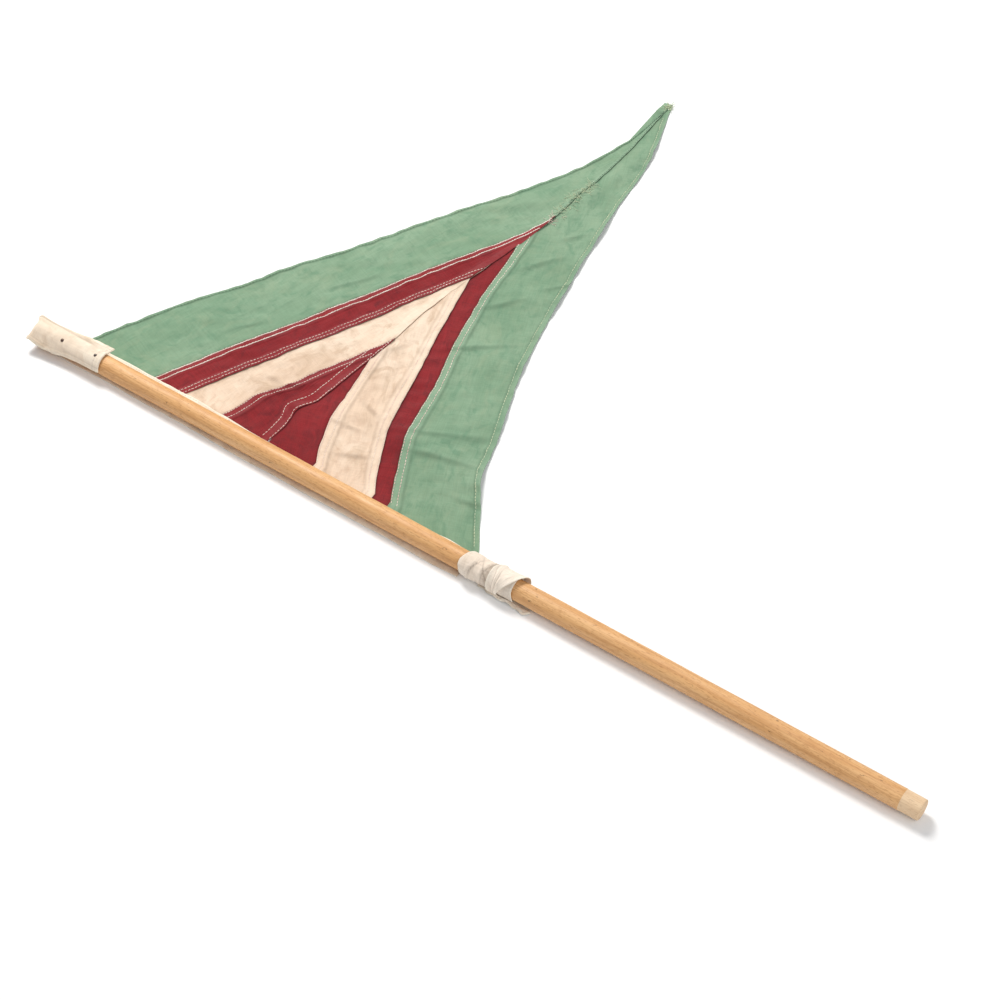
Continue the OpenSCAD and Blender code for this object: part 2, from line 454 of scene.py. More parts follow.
@dataclass(frozen=True)
class Weave:
    """Woven cotton or canvas, dyed, faded and marked by use, with painted shade laid on from a point attribute.
    """

    name: str
    fresh: Colour
    faded: Colour
    deep: Colour
    stain: Colour
    seed: float
    pitch: float = 0.62
    stain_share: float = 0.3
    slub_share: float = 0.07
    bump: float = 0.00012
    crumple: float = 16.0

    def make(self) -> bpy.types.Material:
        """Builds the material on the cloth's own flat coordinates.

        Returns:
            The material.
        """
        material, wiring, shader = start_material(self.name)
        cloth = wiring.add("ShaderNodeUVMap", uv_map="cloth").outputs[0]
        patch = wiring.noise(wiring.scaled(cloth, (1 / 85, 1 / 60, 1), self.seed), 3, 0.55, 0.6)
        cloud = wiring.noise(wiring.scaled(cloth, (1 / 17, 1 / 12, 1), self.seed + 5), 4, 0.65, 0.8)
        along = wiring.noise(wiring.scaled(cloth, (1 / 30, 1 / 0.7, 1), self.seed), 2, 0.6)
        across = wiring.noise(wiring.scaled(cloth, (1 / 0.7, 1 / 22, 1), self.seed), 2, 0.6)
        crumple = wiring.noise(wiring.scaled(cloth, (1 / 24, 1 / 13, 1), self.seed + 3), 3, 0.5, 0.3)
        colour = wiring.mix(wiring.span(patch, 0.36, 0.64), self.fresh, self.faded)
        colour = wiring.mix(wiring.span(cloud, 0.44, 0.76, 0, 0.85), colour, self.deep)
        slub = wiring.sum("ADD", along, across)
        tone = wiring.span(slub, 0.7, 1.3, 1 - self.slub_share, 1 + self.slub_share)
        colour = wiring.mix(1.0, colour, wiring.grey(tone), "MULTIPLY")
        spots = wiring.noise(wiring.scaled(cloth, (1 / 34, 1 / 21, 1), self.seed + 11), 5, 0.62, 1.2)
        colour = wiring.mix(wiring.span(spots, 0.46, 0.74, 0, self.stain_share), colour, self.stain)
        worn = wiring.add("ShaderNodeAttribute", attribute_name="wear").outputs["Fac"]
        rubbed = wiring.sum("MULTIPLY", worn, wiring.span(cloud, 0.3, 0.7, 0.15, 0.75))
        colour = wiring.mix(rubbed, colour, tuple(min(1.0, 1.12 * c + 0.06) for c in self.faded))
        # Painted shade beside fold edges, at steps and in creases, with marks along the seams, comes in as a
        # point attribute and darkens the colour towards half the deep tone.
        soiled = wiring.add("ShaderNodeAttribute", attribute_name="grime").outputs["Fac"]
        dirt = wiring.sum("MULTIPLY", soiled, wiring.span(spots, 0.25, 0.6, 0.55, 1.0))
        colour = wiring.mix(dirt, colour, tuple(0.5 * c for c in self.deep))
        wave = {"Vector": cloth, "Scale": 2 * math.pi / (20 * self.pitch), "Distortion": 0.4, "Detail": 1.0}
        warp, weft = (wiring.add("ShaderNodeTexWave", wave, bands_direction=way).outputs["Fac"] for way in "XY")
        height = wiring.sum("ADD", wiring.sum("MULTIPLY", warp, weft), wiring.sum("MULTIPLY", slub, 0.8))
        height = wiring.sum("ADD", height, wiring.sum("MULTIPLY", crumple, self.crumple))
        wiring.finish(shader, colour, wiring.span(cloud, 0.2, 0.8, 0.96, 0.84), height, self.bump, 0.8)
        shader.inputs["Specular IOR Level"].default_value = 0.25
        shader.inputs["Sheen Weight"].default_value = 0.12
        shader.inputs["Sheen Roughness"].default_value = 0.5
        return material


@dataclass(frozen=True)
class Thread:
    """Sewing thread, soiled here and there."""

    name: str
    clean: Colour
    soiled: Colour

    def make(self) -> bpy.types.Material:
        """Builds the material.

        Returns:
            The material.
        """
        material, wiring, shader = start_material(self.name)
        marks = wiring.spot_noise((90, 90, 90), 0, 3, 0.6)
        fibre = wiring.spot_noise((2600, 2600, 2600), 0, 1)
        colour = wiring.mix(wiring.span(marks, 0.42, 0.66), self.clean, self.soiled)
        wiring.finish(shader, colour, wiring.span(marks, 0.3, 0.7, 0.72, 0.9), fibre, 0.00006, 0.6)
        return material


@dataclass(frozen=True)
class Wood:
    """Straight-grained wood, varnished or bare, with fine dark flecks and handling marks."""

    name: str
    light: Colour
    warm: Colour
    fleck: Colour
    dirt: Colour
    coat: float
    roughness: float

    def make(self) -> bpy.types.Material:
        """Builds the material on object coordinates, with the grain along the staff.

        Returns:
            The material.
        """
        material, wiring, shader = start_material(self.name)
        tone = wiring.spot_noise((11, 130, 130), 0, 3, 0.55, 0.4)
        grain = wiring.spot_noise((16, 620, 620), 0, 3, 0.6, 0.25)
        pores = wiring.spot_noise((210, 1500, 1500), 0, 2, 0.5)
        handled = wiring.spot_noise((34, 60, 60), 3.1, 4, 0.7, 0.5)
        specks = wiring.spot_noise((150, 260, 260), 7.7, 3, 0.6)
        colour = wiring.mix(wiring.span(tone, 0.34, 0.66), self.light, self.warm)
        colour = wiring.mix(wiring.span(grain, 0.42, 0.7, 0, 0.5), colour, self.fleck)
        colour = wiring.mix(wiring.span(pores, 0.54, 0.68, 0, 0.7), colour, self.fleck)
        colour = wiring.mix(wiring.span(handled, 0.56, 0.8, 0, 0.5), colour, self.fleck)
        colour = wiring.mix(wiring.span(specks, 0.66, 0.74, 0, 0.75), colour, self.dirt)
        height = wiring.sum("ADD", grain, wiring.sum("MULTIPLY", pores, 0.8))
        rough = wiring.span(handled, 0.3, 0.75, self.roughness, self.roughness + 0.2)
        wiring.finish(shader, colour, rough, height, 0.00009, 0.35)
        shader.inputs["Coat Weight"].default_value = self.coat
        shader.inputs["Coat Roughness"].default_value = 0.36
        return material


@dataclass(frozen=True)
class OldSteel:
    """Blued tack steel gone brown."""

    name: str

    def make(self) -> bpy.types.Material:
        """Builds the material.

        Returns:
            The material.
        """
        material, wiring, shader = start_material(self.name)
        rust = wiring.spot_noise((900, 900, 900), 0, 4, 0.6)
        colour = wiring.mix(wiring.span(rust, 0.42, 0.62), (0.09, 0.075, 0.07), (0.17, 0.085, 0.05))
        wiring.finish(shader, colour, wiring.span(rust, 0.3, 0.7, 0.32, 0.62), rust, 0.0001, 0.5)
        shader.inputs["Metallic"].default_value = 0.75
        return material


@dataclass(frozen=True)
class PalePaper:
    """Plain pale floor."""

    name: str
    colour: Colour

    def make(self) -> bpy.types.Material:
        """Builds the material.

        Returns:
            The material.
        """
        material, wiring, shader = start_material(self.name)
        fibres = wiring.spot_noise((40, 40, 40))
        tint = wiring.mix(wiring.span(fibres, 0.3, 0.7), self.colour, tuple(0.985 * c for c in self.colour))
        wiring.tree.links.new(tint, shader.inputs["Base Color"])
        shader.inputs["Roughness"].default_value = 0.95
        shader.inputs["Specular IOR Level"].default_value = 0.1
        return material


GREEN = Weave("green_cotton", (0.200, 0.322, 0.206), (0.245, 0.368, 0.244), (0.138, 0.265, 0.165),
              (0.330, 0.400, 0.260), 1.7)
RED = Weave("red_cotton", (0.215, 0.012, 0.016), (0.265, 0.019, 0.023), (0.135, 0.008, 0.012),
            (0.22, 0.030, 0.028), 4.2, stain_share=0.25, slub_share=0.14)
CREAM = Weave("cream_cotton", (0.76, 0.58, 0.435), (0.83, 0.67, 0.525), (0.655, 0.475, 0.345),
              (0.50, 0.345, 0.225), 8.9, stain_share=0.62, slub_share=0.05, crumple=15.0)
CANVAS = Weave("heading_canvas", (0.87, 0.725, 0.575), (0.93, 0.82, 0.68), (0.725, 0.565, 0.42),
               (0.52, 0.35, 0.20), 2.4, pitch=0.95, stain_share=0.35, slub_share=0.05, bump=0.0002, crumple=5.0)
TIE_CANVAS = Weave("tie_canvas", (0.86, 0.725, 0.60), (0.92, 0.81, 0.69), (0.69, 0.555, 0.44),
                   (0.50, 0.40, 0.29), 6.1, pitch=1.0, stain_share=0.3, slub_share=0.06, bump=0.00025,
                   crumple=5.0)
WHITE_THREAD = Thread("white_thread", (0.86, 0.74, 0.64), (0.72, 0.50, 0.45))
BRIGHT_THREAD = Thread("bright_thread", (0.90, 0.82, 0.74), (0.80, 0.66, 0.58))
PALE_THREAD = Thread("pale_thread", (0.56, 0.62, 0.42), (0.42, 0.53, 0.37))
GREEN_THREAD = Thread("green_thread", (0.07, 0.13, 0.085), (0.12, 0.21, 0.14))
VARNISH = Wood("varnished_wood", (0.80, 0.47, 0.21), (0.70, 0.37, 0.14), (0.46, 0.205, 0.07),
               (0.13, 0.05, 0.02), coat=0.1, roughness=0.5)
BARE_WOOD = Wood("bare_wood", (0.84, 0.62, 0.40), (0.78, 0.55, 0.34), (0.62, 0.41, 0.24),
                 (0.30, 0.19, 0.11), coat=0.0, roughness=0.72)


class Finishes:
    """The finishes, each made once when it is first wanted."""

    def __init__(self) -> None:
        """Starts with none made."""
        self._made: dict[str, bpy.types.Material] = {}

    def of(self, finish: Weave | Thread | Wood | OldSteel | PalePaper) -> bpy.types.Material:
        """The finish's material.

        Args:
            finish: The finish.

        Returns:
            Its material.
        """
        if finish.name not in self._made:
            self._made[finish.name] = finish.make()
        return self._made[finish.name]


# ---------- Geometry node trees ----------


def start_tree(name: str, lengths: tuple[str, ...], material: str) -> tuple[Wiring, bpy.types.NodeOutputs]:
    """New geometry node tree with its inputs and its output.

    Args:
        name: Name of the tree.
        lengths: Names of its number inputs.
        material: Name of its material input.

    Returns:
        The tree's wiring, and the sockets that bring its inputs.
    """
    tree = bpy.data.node_groups.new(name, "GeometryNodeTree")
    kinds = [("Geometry", "Geometry"), *((length, "Float") for length in lengths), ("Seed", "Int"),
             (material, "Material")]
    for label, kind in kinds:
        tree.interface.new_socket(label, in_out="INPUT", socket_type="NodeSocket" + kind)
    tree.interface.new_socket("Geometry", in_out="OUTPUT", socket_type="NodeSocketGeometry")
    wiring = Wiring(tree)
    return wiring, wiring.add("NodeGroupInput").outputs


class StitchTree:
    """Geometry nodes that lay stitches along the edges of a mesh line."""

    NAME = "stitches_along_a_row"
    LENGTHS = ("Pitch", "Stitch Length", "Thread Radius", "Arch")

    def __init__(self) -> None:
        """Builds the tree."""
        wiring, given = start_tree(self.NAME, self.LENGTHS, "Thread")
        row = wiring.add("GeometryNodeMeshToCurve", {"Mesh": given["Geometry"]}).outputs[0]
        spaced = wiring.add("GeometryNodeResampleCurve", {"Curve": row, "Length": given["Pitch"]},
                            mode="LENGTH")
        half = wiring.sum("MULTIPLY", given["Stitch Length"], 0.5)
        back = wiring.sum("MULTIPLY", half, -1.0)
        sunk = wiring.sum("MULTIPLY", given["Thread Radius"], -0.9)
        start = wiring.add("ShaderNodeCombineXYZ", {0: back, 2: sunk}).outputs[0]
        middle = wiring.add("ShaderNodeCombineXYZ", {2: given["Arch"]}).outputs[0]
        end = wiring.add("ShaderNodeCombineXYZ", {0: half, 2: sunk}).outputs[0]
        arch = wiring.add("GeometryNodeCurveQuadraticBezier",
                          {"Resolution": 4, "Start": start, "Middle": middle, "End": end}).outputs[0]
        stitch = wiring.tube(arch, 5, given["Thread Radius"])
        tangent = wiring.add("GeometryNodeInputTangent").outputs[0]
        facing = wiring.add("FunctionNodeAlignRotationToVector", {"Vector": tangent}, axis="X").outputs[0]
        size = wiring.random((0.8, 0.8, 0.7), (1.1, 1.25, 1.3), given["Seed"])
        swing = wiring.random((0, 0, -0.12), (0, 0, 0.12), given["Seed"])
        turned = wiring.add("FunctionNodeRotateRotation", {0: facing, 1: swing},
                            rotation_space="LOCAL").outputs[0]
        laid = wiring.add("GeometryNodeInstanceOnPoints", {"Points": spaced.outputs[0], "Instance": stitch,
                                                           "Rotation": turned, "Scale": size}).outputs[0]
        real = wiring.add("GeometryNodeRealizeInstances", {0: laid}).outputs[0]
        self.tree = wiring.end_tree(real, given["Thread"])


class FrayTree:
    """Geometry nodes that grow one loose curling fibre from each point of a mesh."""

    NAME = "loose_fibres"
    LENGTHS = ("Fibre Length", "Fibre Radius", "Curl", "Tilt")

    def __init__(self) -> None:
        """Builds the tree."""
        wiring, given = start_tree(self.NAME, self.LENGTHS, "Fibre")
        tip = wiring.add("ShaderNodeCombineXYZ", {0: given["Fibre Length"]}).outputs[0]
        line = wiring.add("GeometryNodeCurvePrimitiveLine", {"Start": (0, 0, 0), "End": tip}).outputs[0]
        fine = wiring.add("GeometryNodeResampleCurve", {"Curve": line, "Count": 9}).outputs[0]
        raised = wiring.sum("MULTIPLY", given["Tilt"], -1.0)
        low = wiring.add("ShaderNodeCombineXYZ", {1: raised, 2: -3.1416}).outputs[0]
        turn = wiring.random(low, (0.0, 0.0, 3.1416), given["Seed"])
        scale = wiring.random((0.4, 0.4, 0.4), (1.3, 1.3, 1.3), given["Seed"])
        placed = wiring.add("GeometryNodeInstanceOnPoints", {"Points": given["Geometry"], "Instance": fine,
                                                             "Rotation": turn, "Scale": scale}).outputs[0]
        real = wiring.add("GeometryNodeRealizeInstances", {0: placed}).outputs[0]
        where = wiring.add("GeometryNodeInputPosition").outputs[0]
        swirl = wiring.add("ShaderNodeTexNoise", {"Vector": where, "Scale": 260.0, "Detail": 1.0})
        away = wiring.add("ShaderNodeVectorMath", {0: swirl.outputs["Color"], 1: (0.5, 0.5, 0.42)},
                          operation="SUBTRACT").outputs[0]
        share = wiring.add("GeometryNodeSplineParameter").outputs["Factor"]
        reach = wiring.sum("MULTIPLY", share, given["Curl"])
        shift = wiring.add("ShaderNodeVectorMath", {0: away, "Scale": reach}, operation="SCALE").outputs[0]
        bent = wiring.add("GeometryNodeSetPosition", {"Geometry": real, "Offset": shift}).outputs[0]
        tubes = wiring.tube(bent, 4, given["Fibre Radius"])
        solid = wiring.add("GeometryNodeRealizeInstances", {0: tubes}).outputs[0]
        self.tree = wiring.end_tree(solid, given["Fibre"])


def grown(name: str, seed_mesh: bpy.types.Mesh, tree: bpy.types.NodeTree, **values: object) -> Piece:
    """Plain mesh that a geometry node tree makes out of a seed mesh.

    Args:
        name: Name of the piece.
        seed_mesh: Mesh that the tree starts from.
        tree: The tree.
        **values: Values of the tree's named inputs, with _ for a space in the name.

    Returns:
        The piece, with no modifier left on it.
    """
    seed = new_object(name + "_seed", seed_mesh)
    modifier = seed.modifiers.new("grow", "NODES")
    modifier.node_group = tree
    identifiers = {item.name: item.identifier for item in tree.interface.items_tree if item.in_out == "INPUT"}
    for key, value in values.items():
        modifier[identifiers[key.replace("_", " ")]] = value
    bpy.context.view_layer.update()
    graph = bpy.context.evaluated_depsgraph_get()
    mesh = bpy.data.meshes.new_from_object(seed.evaluated_get(graph), depsgraph=graph)
    mesh.name = name
    bpy.data.objects.remove(seed)
    return new_object(name, mesh)


def line_mesh(name: str, lines: list[Array]) -> bpy.types.Mesh:
    """Mesh of open lines.

    Args:
        name: Name of the piece that the lines are for.
        lines: Points of each line, in millimetres.

    Returns:
        The mesh, in metres.
    """
    mesh = bpy.data.meshes.new(name + "_line")
    points = np.concatenate(lines) * MM
    edges: list[tuple[int, int]] = []
    first = 0
    for line in lines:
        edges += [(first + i, first + i + 1) for i in range(len(line) - 1)]
        first += len(line)
    mesh.from_pydata(points.tolist(), edges, [])
    return mesh


# ---------- How the cloth lies ----------


class Side(Enum):
    """The two halves of the pennant, by the sign of X that leads to them from the middle."""

    TOP = -1
    BOTTOM = 1


class Edge(Enum):
    """How one long edge of a panel is finished."""

    OVER = "folded and felled onto its neighbour"
    UNDER = "flat beneath its neighbour"
    HEM = "hemmed"
    POINT = "run out to the middle of the hoist"


@dataclass(frozen=True)
class Fold:
    """Line across one half of the pennant, from the hoist to the centre line."""

    half: float
    reach: float
    bow: float = 0.0

    def inset(self, distance: float) -> "Fold":
        """The same line moved towards the middle of the hoist by a distance."""
        slope = math.hypot(self.half, self.reach)
        return Fold(max(0.3, self.half - distance * slope / self.reach),
                    max(0.8, self.reach - distance * slope / self.half), self.bow)


@dataclass(frozen=True)
class Pull:
    """Sideways shift of the cloth round one place, as handling has left it."""

    x: float
    y: float
    wide: float
    long: float
    dx: float
    dy: float = 0.0


@dataclass(frozen=True)
class Swell:
    """Long soft ridge, by its middle, direction, half length, half width and height."""

    x: float
    y: float
    degrees: float
    long: float
    wide: float
    high: float

    def height(self, x: Array, y: Array) -> Array:
        """Height of the ridge.

        Args:
            x: Places along the staff.
            y: Places away from the staff.

        Returns:
            The height at each place.
        """
        turn = math.radians(self.degrees)
        along = (x - self.x) * math.cos(turn) + (y - self.y) * math.sin(turn)
        across = (y - self.y) * math.cos(turn) - (x - self.x) * math.sin(turn)
        return self.high * np.exp(-((along / self.long) ** 2) - (across / self.wide) ** 2)


@dataclass(frozen=True)
class Lie:
    """How the pennant lies on the surface: where it is pulled sideways and where it lifts."""

    pulls: tuple[Pull, ...] = (
        Pull(-666, 68, 26, 13, -8.5),
        Pull(-662, 40, 22, 60, -5.0),
        Pull(-706, 60, 22, 16, -3.5, 1.0),
        Pull(-445, 92, 95, 30, -7.5),
        Pull(-540, 24, 90, 34, -3.6),
        Pull(-585, 150, 24, 52, 4.0),
        Pull(-560, 480, 26, 90, -3.2),
        Pull(-664, 470, 24, 60, 2.6),
        Pull(-750, 190, 60, 120, 2.2),
    )
    swells: tuple[Swell, ...] = (
        Swell(-470, 84, 8, 70, 19, 7.0),
        Swell(-560, 88, 4, 48, 15, 4.2),
        Swell(-622, 84, 12, 26, 13, 3.5),
        Swell(-520, 140, 60, 45, 22, 3.2),
        Swell(-562, 300, 25, 46, 14, 3.0),
        Swell(-575, 352, 22, 40, 13, 3.2),
        Swell(-560, 430, 78, 46, 13, 4.1),
        Swell(-612, 440, 20, 34, 11, 2.7),
        Swell(-540, 215, 32, 50, 16, 2.7),
        Swell(-800, 120, 60, 60, 15, 2.4),
        Swell(-770, 215, 58, 70, 14, 2.2),
        Swell(-720, 270, 63, 60, 11, 2.0),
        Swell(-690, 345, 60, 52, 11, 2.4),
        Swell(-650, 400, 45, 36, 10, 2.6),
        Swell(-700, 130, 68, 50, 12, 1.6),
        Swell(-668, 100, 70, 42, 10, 1.9),
        Swell(-640, 210, 84, 45, 12, 1.8),
        Swell(-596, 500, 82, 60, 12, 3.0),
    )
    creases: tuple[Swell, ...] = (
        Swell(-682, 86, 25, 17, 2.4, 2.0),
        Swell(-693, 70, 12, 9, 2.0, 1.3),
        Swell(-707, 81, 5, 9, 2.0, 1.2),
        Swell(-610, 99, -19, 17, 1.9, 1.8),
        Swell(-619, 72, 8, 14, 2.2, 1.4),
        Swell(-592, 49, 24, 18, 2.6, 1.3),
        Swell(-540, 112, 26, 30, 3.2, 1.5),
        Swell(-527, 86, 16, 34, 3.4, 1.8),
        Swell(-584, 388, 45, 15, 2.2, 1.6),
        Swell(-591, 338, 50, 20, 2.4, 1.5),
        Swell(-557, 326, 46, 17, 2.3, 1.3),
        Swell(-592, 274, 48, 26, 2.4, 1.1),
        Swell(-580, 216, 40, 32, 2.6, 1.3),
        Swell(-770, 118, 54, 15, 2.0, 0.9),
        Swell(-721, 221, 58, 25, 2.2, 1.0),
        Swell(-640, 172, 60, 15, 2.0, 1.1),
        Swell(-470, 62, 10, 20, 2.4, 0.9),
    )
    # Strength of the painted shade beside the creases.
    crease_shade: float = 0.42
    centre_drift: float = 12.0
    flat_until: float = 30.0

    def shift(self, x: Array, y: Array, centre_x: Array) -> tuple[Array, Array]:
        """Sideways shift of the cloth.

        Args:
            x: Places along the staff.
            y: Places away from the staff.
            centre_x: X of the centre line at each Y.

        Returns:
            The shift along each axis.
        """
        grow = smooth(self.flat_until - 6, self.flat_until + 25, y)
        dx = 0.1 * grow * Wander(11, 14).at(x, y) + 0.45 * grow * Wander(12, 95).at(x, y)
        dy = 0.3 * grow * Wander(13, 17).at(x, y)
        for pull in self.pulls:
            share = hump(x, pull.x, pull.wide) * hump(y, pull.y, pull.long)
            dx = dx + pull.dx * share
            dy = dy + pull.dy * share
        drift = self.centre_drift * smooth(250, 400, y) * (1 - smooth(480, 612, y))
        return dx + drift * hump(x, centre_x, 46.0), dy

    def painted_shade(self, x: Array, y: Array) -> Array:
        """Painted shade at the foot of each crease, on its shaded side.

        Args:
            x: Places along the staff.
            y: Places away from the staff.

        Returns:
            The painted shade at each place, from 0 to 1.
        """
        total = 0.0
        for crease in self.creases:
            total = total + crease.height(x, y + 0.9 * crease.wide) / crease.high
        return self.crease_shade * np.clip(total, 0, 1)

    def lift(self, x: Array, y: Array) -> Array:
        """Height of the cloth above the surface.

        Args:
            x: Places along the staff.
            y: Places away from the staff.

        Returns:
            The height at each place.
        """
        grow = smooth(self.flat_until, self.flat_until + 28, y)
        calm = 1 - 0.7 * smooth(520, 600, y)
        total = 0.9 + 0.4 * Wander(21, 75).at(x, y) + 0.26 * Wander(22, 19).at(x, y)
        for swell in self.swells:
            total = total + swell.height(x, y)
        total = np.maximum(total, 0.0)
        sharp = sum(crease.height(x, y) for crease in self.creases)
        return (total * calm + sharp) * grow


# ---------- Pennant ----------


@dataclass(frozen=True)
class Panel:
    """One piece of cotton in one half of the pennant."""

    name: str
    side: Side
    outer: Fold
    outer_edge: Edge
    inner: Fold
    inner_edge: Edge
    finish: Weave

    @property
    def node(self) -> str:
        """CAD node that the panel stands for."""
        return self.name.replace("_", "_panel_")

    def nearest(self, kind: Edge, from_outer: Array, from_inner: Array) -> Array:
        """Distance from the panel's nearest edge of one kind.

        Args:
            kind: Kind of edge.
            from_outer: Distance of each line from the outer edge.
            from_inner: Distance of each line from the inner edge.

        Returns:
            The distance at each line, or NO_EDGE.
        """
        none = np.full_like(from_outer, NO_EDGE)
        return np.minimum(from_outer if self.outer_edge is kind else none,
                          from_inner if self.inner_edge is kind else none)


@dataclass(frozen=True)
class Near:
    """How far each point of a panel is from each kind of edge, in millimetres."""

    lap: Array
    hem: Array
    under: Array
    seam: Array
    centre: Array
    crossed: Array

    def lap_or_seam(self) -> Array:
        """Distance from the nearest lap or centre seam."""
        return np.minimum(self.lap, self.seam)


@dataclass
class Row:
    """Stitching that stands for one thread node: its lines are points on the cloth from above."""

    name: str
    node: str
    lines: list[Array]
    finish: Thread
    slot: str
    pitch: float = 3.4
    stitch: float = 2.6
    radius: float = 0.3


@dataclass
class Pennant:
    """The triangular pennant: eight panels in two halves, their felled seams, hems and stitching."""

    finishes: Finishes
    stitches: StitchTree
    fray: FrayTree
    lie: Lie = field(default_factory=Lie)
    hoist_mid: float = -660.0
    hoist_y: float = 26.5
    tucked_to: float = 12.0
    flare: float = 7.0
    askew: float = 0.85
    askew_about: float = -328.0
    fly: float = 580.0
    skew: float = 60.0
    ground: float = -10.5
    clear: float = 0.1
    cloth: float = 0.42
    lap: float = 10.5
    hem: float = 5.8
    hem_top: float = 3.4
    hem_mark: float = 0.6
    seam_line_mark: float = 0.3
    lap_paleness: float = 0.6
    step: float = 2.3
    hinge_from: float = 23.8
    hinge_to: float = 31.0
    lap_rise: float = 0.24
    seam_rise: float = 0.25
    tape_rise: float = 0.42
    edge_round: float = 0.5
    pucker: float = 0.24
    pucker_reach: float = 8.0

    FOLDED_STEPS = (0.0, 0.12, 0.3, 0.6, 1.0, 2.3, 3.2, 3.7, 4.6, 5.6, 6.1, 8.0, 10.3, 10.8, 13.0, 16.0)
    HIDDEN_STEPS = (-9.2, -7.5, -5.0, -2.5, -1.2, -0.4, 0.3, 1.0, 2.2, 4.0, 7.0)
    SEAM_STEPS = (14.0, 12.0, 10.4, 9.9, 8.0, 5.5, 3.0, 1.4, 0.7, 0.35, 0.12, 0.0)
    BEYOND_STEPS = (1.5, 4.0, 7.0, 9.0)

    TOP_HEM = Fold(220, 580, 27)
    TOP_GREEN_RED = Fold(138.5, 379, 9)
    TOP_RED_CREAM = Fold(102.5, 265, 2.5)
    TOP_CREAM_CENTRE = Fold(59.0, 160, 0)
    LOW_CREAM_CENTRE = Fold(47.0, 124, 7)
    LOW_RED_CREAM = Fold(112.5, 264, 15)
    LOW_GREEN_RED = Fold(129.0, 324, 15)
    LOW_HEM = Fold(220, 580, 30)
    MIDDLE = Fold(0.6, 1.7)

    def panels(self) -> list[Panel]:
        """The eight panels, by the lines where each is seen to end.

        Returns:
            The panels, from the top green one round to the bottom green one.
        """
        top, low = Side.TOP, Side.BOTTOM
        over, under, hem, point = Edge.OVER, Edge.UNDER, Edge.HEM, Edge.POINT
        return [
            Panel("green_top", top, self.TOP_HEM, hem, self.TOP_GREEN_RED, under, GREEN),
            Panel("red_top", top, self.TOP_GREEN_RED, over, self.TOP_RED_CREAM, over, RED),
            Panel("cream_top", top, self.TOP_RED_CREAM, under, self.TOP_CREAM_CENTRE, under, CREAM),
            Panel("centre_top", top, self.TOP_CREAM_CENTRE, over, self.MIDDLE, point, RED),
            Panel("centre_bottom", low, self.LOW_CREAM_CENTRE, under, self.MIDDLE, point, RED),
            Panel("cream_bottom", low, self.LOW_RED_CREAM, over, self.LOW_CREAM_CENTRE, over, CREAM),
            Panel("red_bottom", low, self.LOW_GREEN_RED, under, self.LOW_RED_CREAM, under, RED),
            Panel("green_bottom", low, self.LOW_HEM, hem, self.LOW_GREEN_RED, over, GREEN),
        ]

    def spot(self, side: Side, half: Array, reach: Array, bow: Array, t: Array) -> tuple[Array, Array]:
        """Place on the flat pennant before it is shifted by how it lies.

        Args:
            side: Half of the pennant.
            half: Distance at the hoist from its middle.
            reach: Distance from the hoist at the centre line.
            bow: Inward bow of the line.
            t: 0 at the hoist and 1 at the centre line; above 1 it counts millimetres beyond that line.

        Returns:
            X and Y.
        """
        inside = np.clip(t, 0, 1)
        share = 6.75 * inside * (1 - inside) * (inside if side is Side.TOP else 1 - inside)
        run = np.maximum(t, 0)
        x = self.hoist_mid + side.value * half
        x = x + (self.hoist_mid + self.skew * reach / self.fly - x) * np.minimum(run, 1)
        x = x - side.value * bow * share
        beyond = np.maximum(t - 1, 0)
        return x - side.value * beyond, self.hoist_y + reach * np.minimum(run, 1)

    def placed(self, x: Array, y: Array) -> tuple[Array, Array]:
        """Place of the cloth after its sideways shift, with the whole pennant a little askew of the staff.

        Args:
            x: Places along the staff.
            y: Places away from the staff.

        Returns:
            X and Y.
        """
        centre_x = self.hoist_mid + self.skew * (y - self.hoist_y) / self.fly
        dx, dy = self.lie.shift(x, y, centre_x)
        turn = math.radians(self.askew)
        along, away = x + dx - self.askew_about, y + dy
        return (self.askew_about + along * math.cos(turn) - away * math.sin(turn),
                along * math.sin(turn) + away * math.cos(turn))

    def columns(self, panel: Panel) -> tuple[Array, Array, Array, Array, Array]:
        """Lines across a panel from its outer edge to its inner one.

        Args:
            panel: The panel.

        Returns:
            Half width, reach and bow of each line, and its distance from the outer and the inner edge.
        """
        steps = {kind: self.HIDDEN_STEPS if kind is Edge.UNDER else self.FOLDED_STEPS for kind in Edge}
        outer = [(panel.outer.inset(d), d, NO_EDGE) for d in steps[panel.outer_edge]]
        if panel.inner_edge is Edge.POINT:
            inner = [(panel.inner, NO_EDGE, NO_EDGE)]
        else:
            inner = [(panel.inner.inset(-d), NO_EDGE, d) for d in reversed(steps[panel.inner_edge])]
        room = outer[-1][0].half - inner[0][0].half
        if room < 2.0:
            outer = [entry for entry in outer if entry[1] < 8.5]
            inner = [entry for entry in inner if entry[2] < 8.5]
        a, b = outer[-1][0], inner[0][0]
        count = max(2, round(max(a.half - b.half, (a.reach - b.reach) * 0.4) / self.step))
        between = []
        for i in range(1, count):
            s = i / count
            line = Fold(a.half + (b.half - a.half) * s, a.reach + (b.reach - a.reach) * s,
                        a.bow + (b.bow - a.bow) * s)
            between.append((line, NO_EDGE, NO_EDGE))
        every = outer + between + inner
        lines = [entry[0] for entry in every]
        return (np.array([line.half for line in lines]), np.array([line.reach for line in lines]),
                np.array([line.bow for line in lines]), np.array([entry[1] for entry in every]),
                np.array([entry[2] for entry in every]))

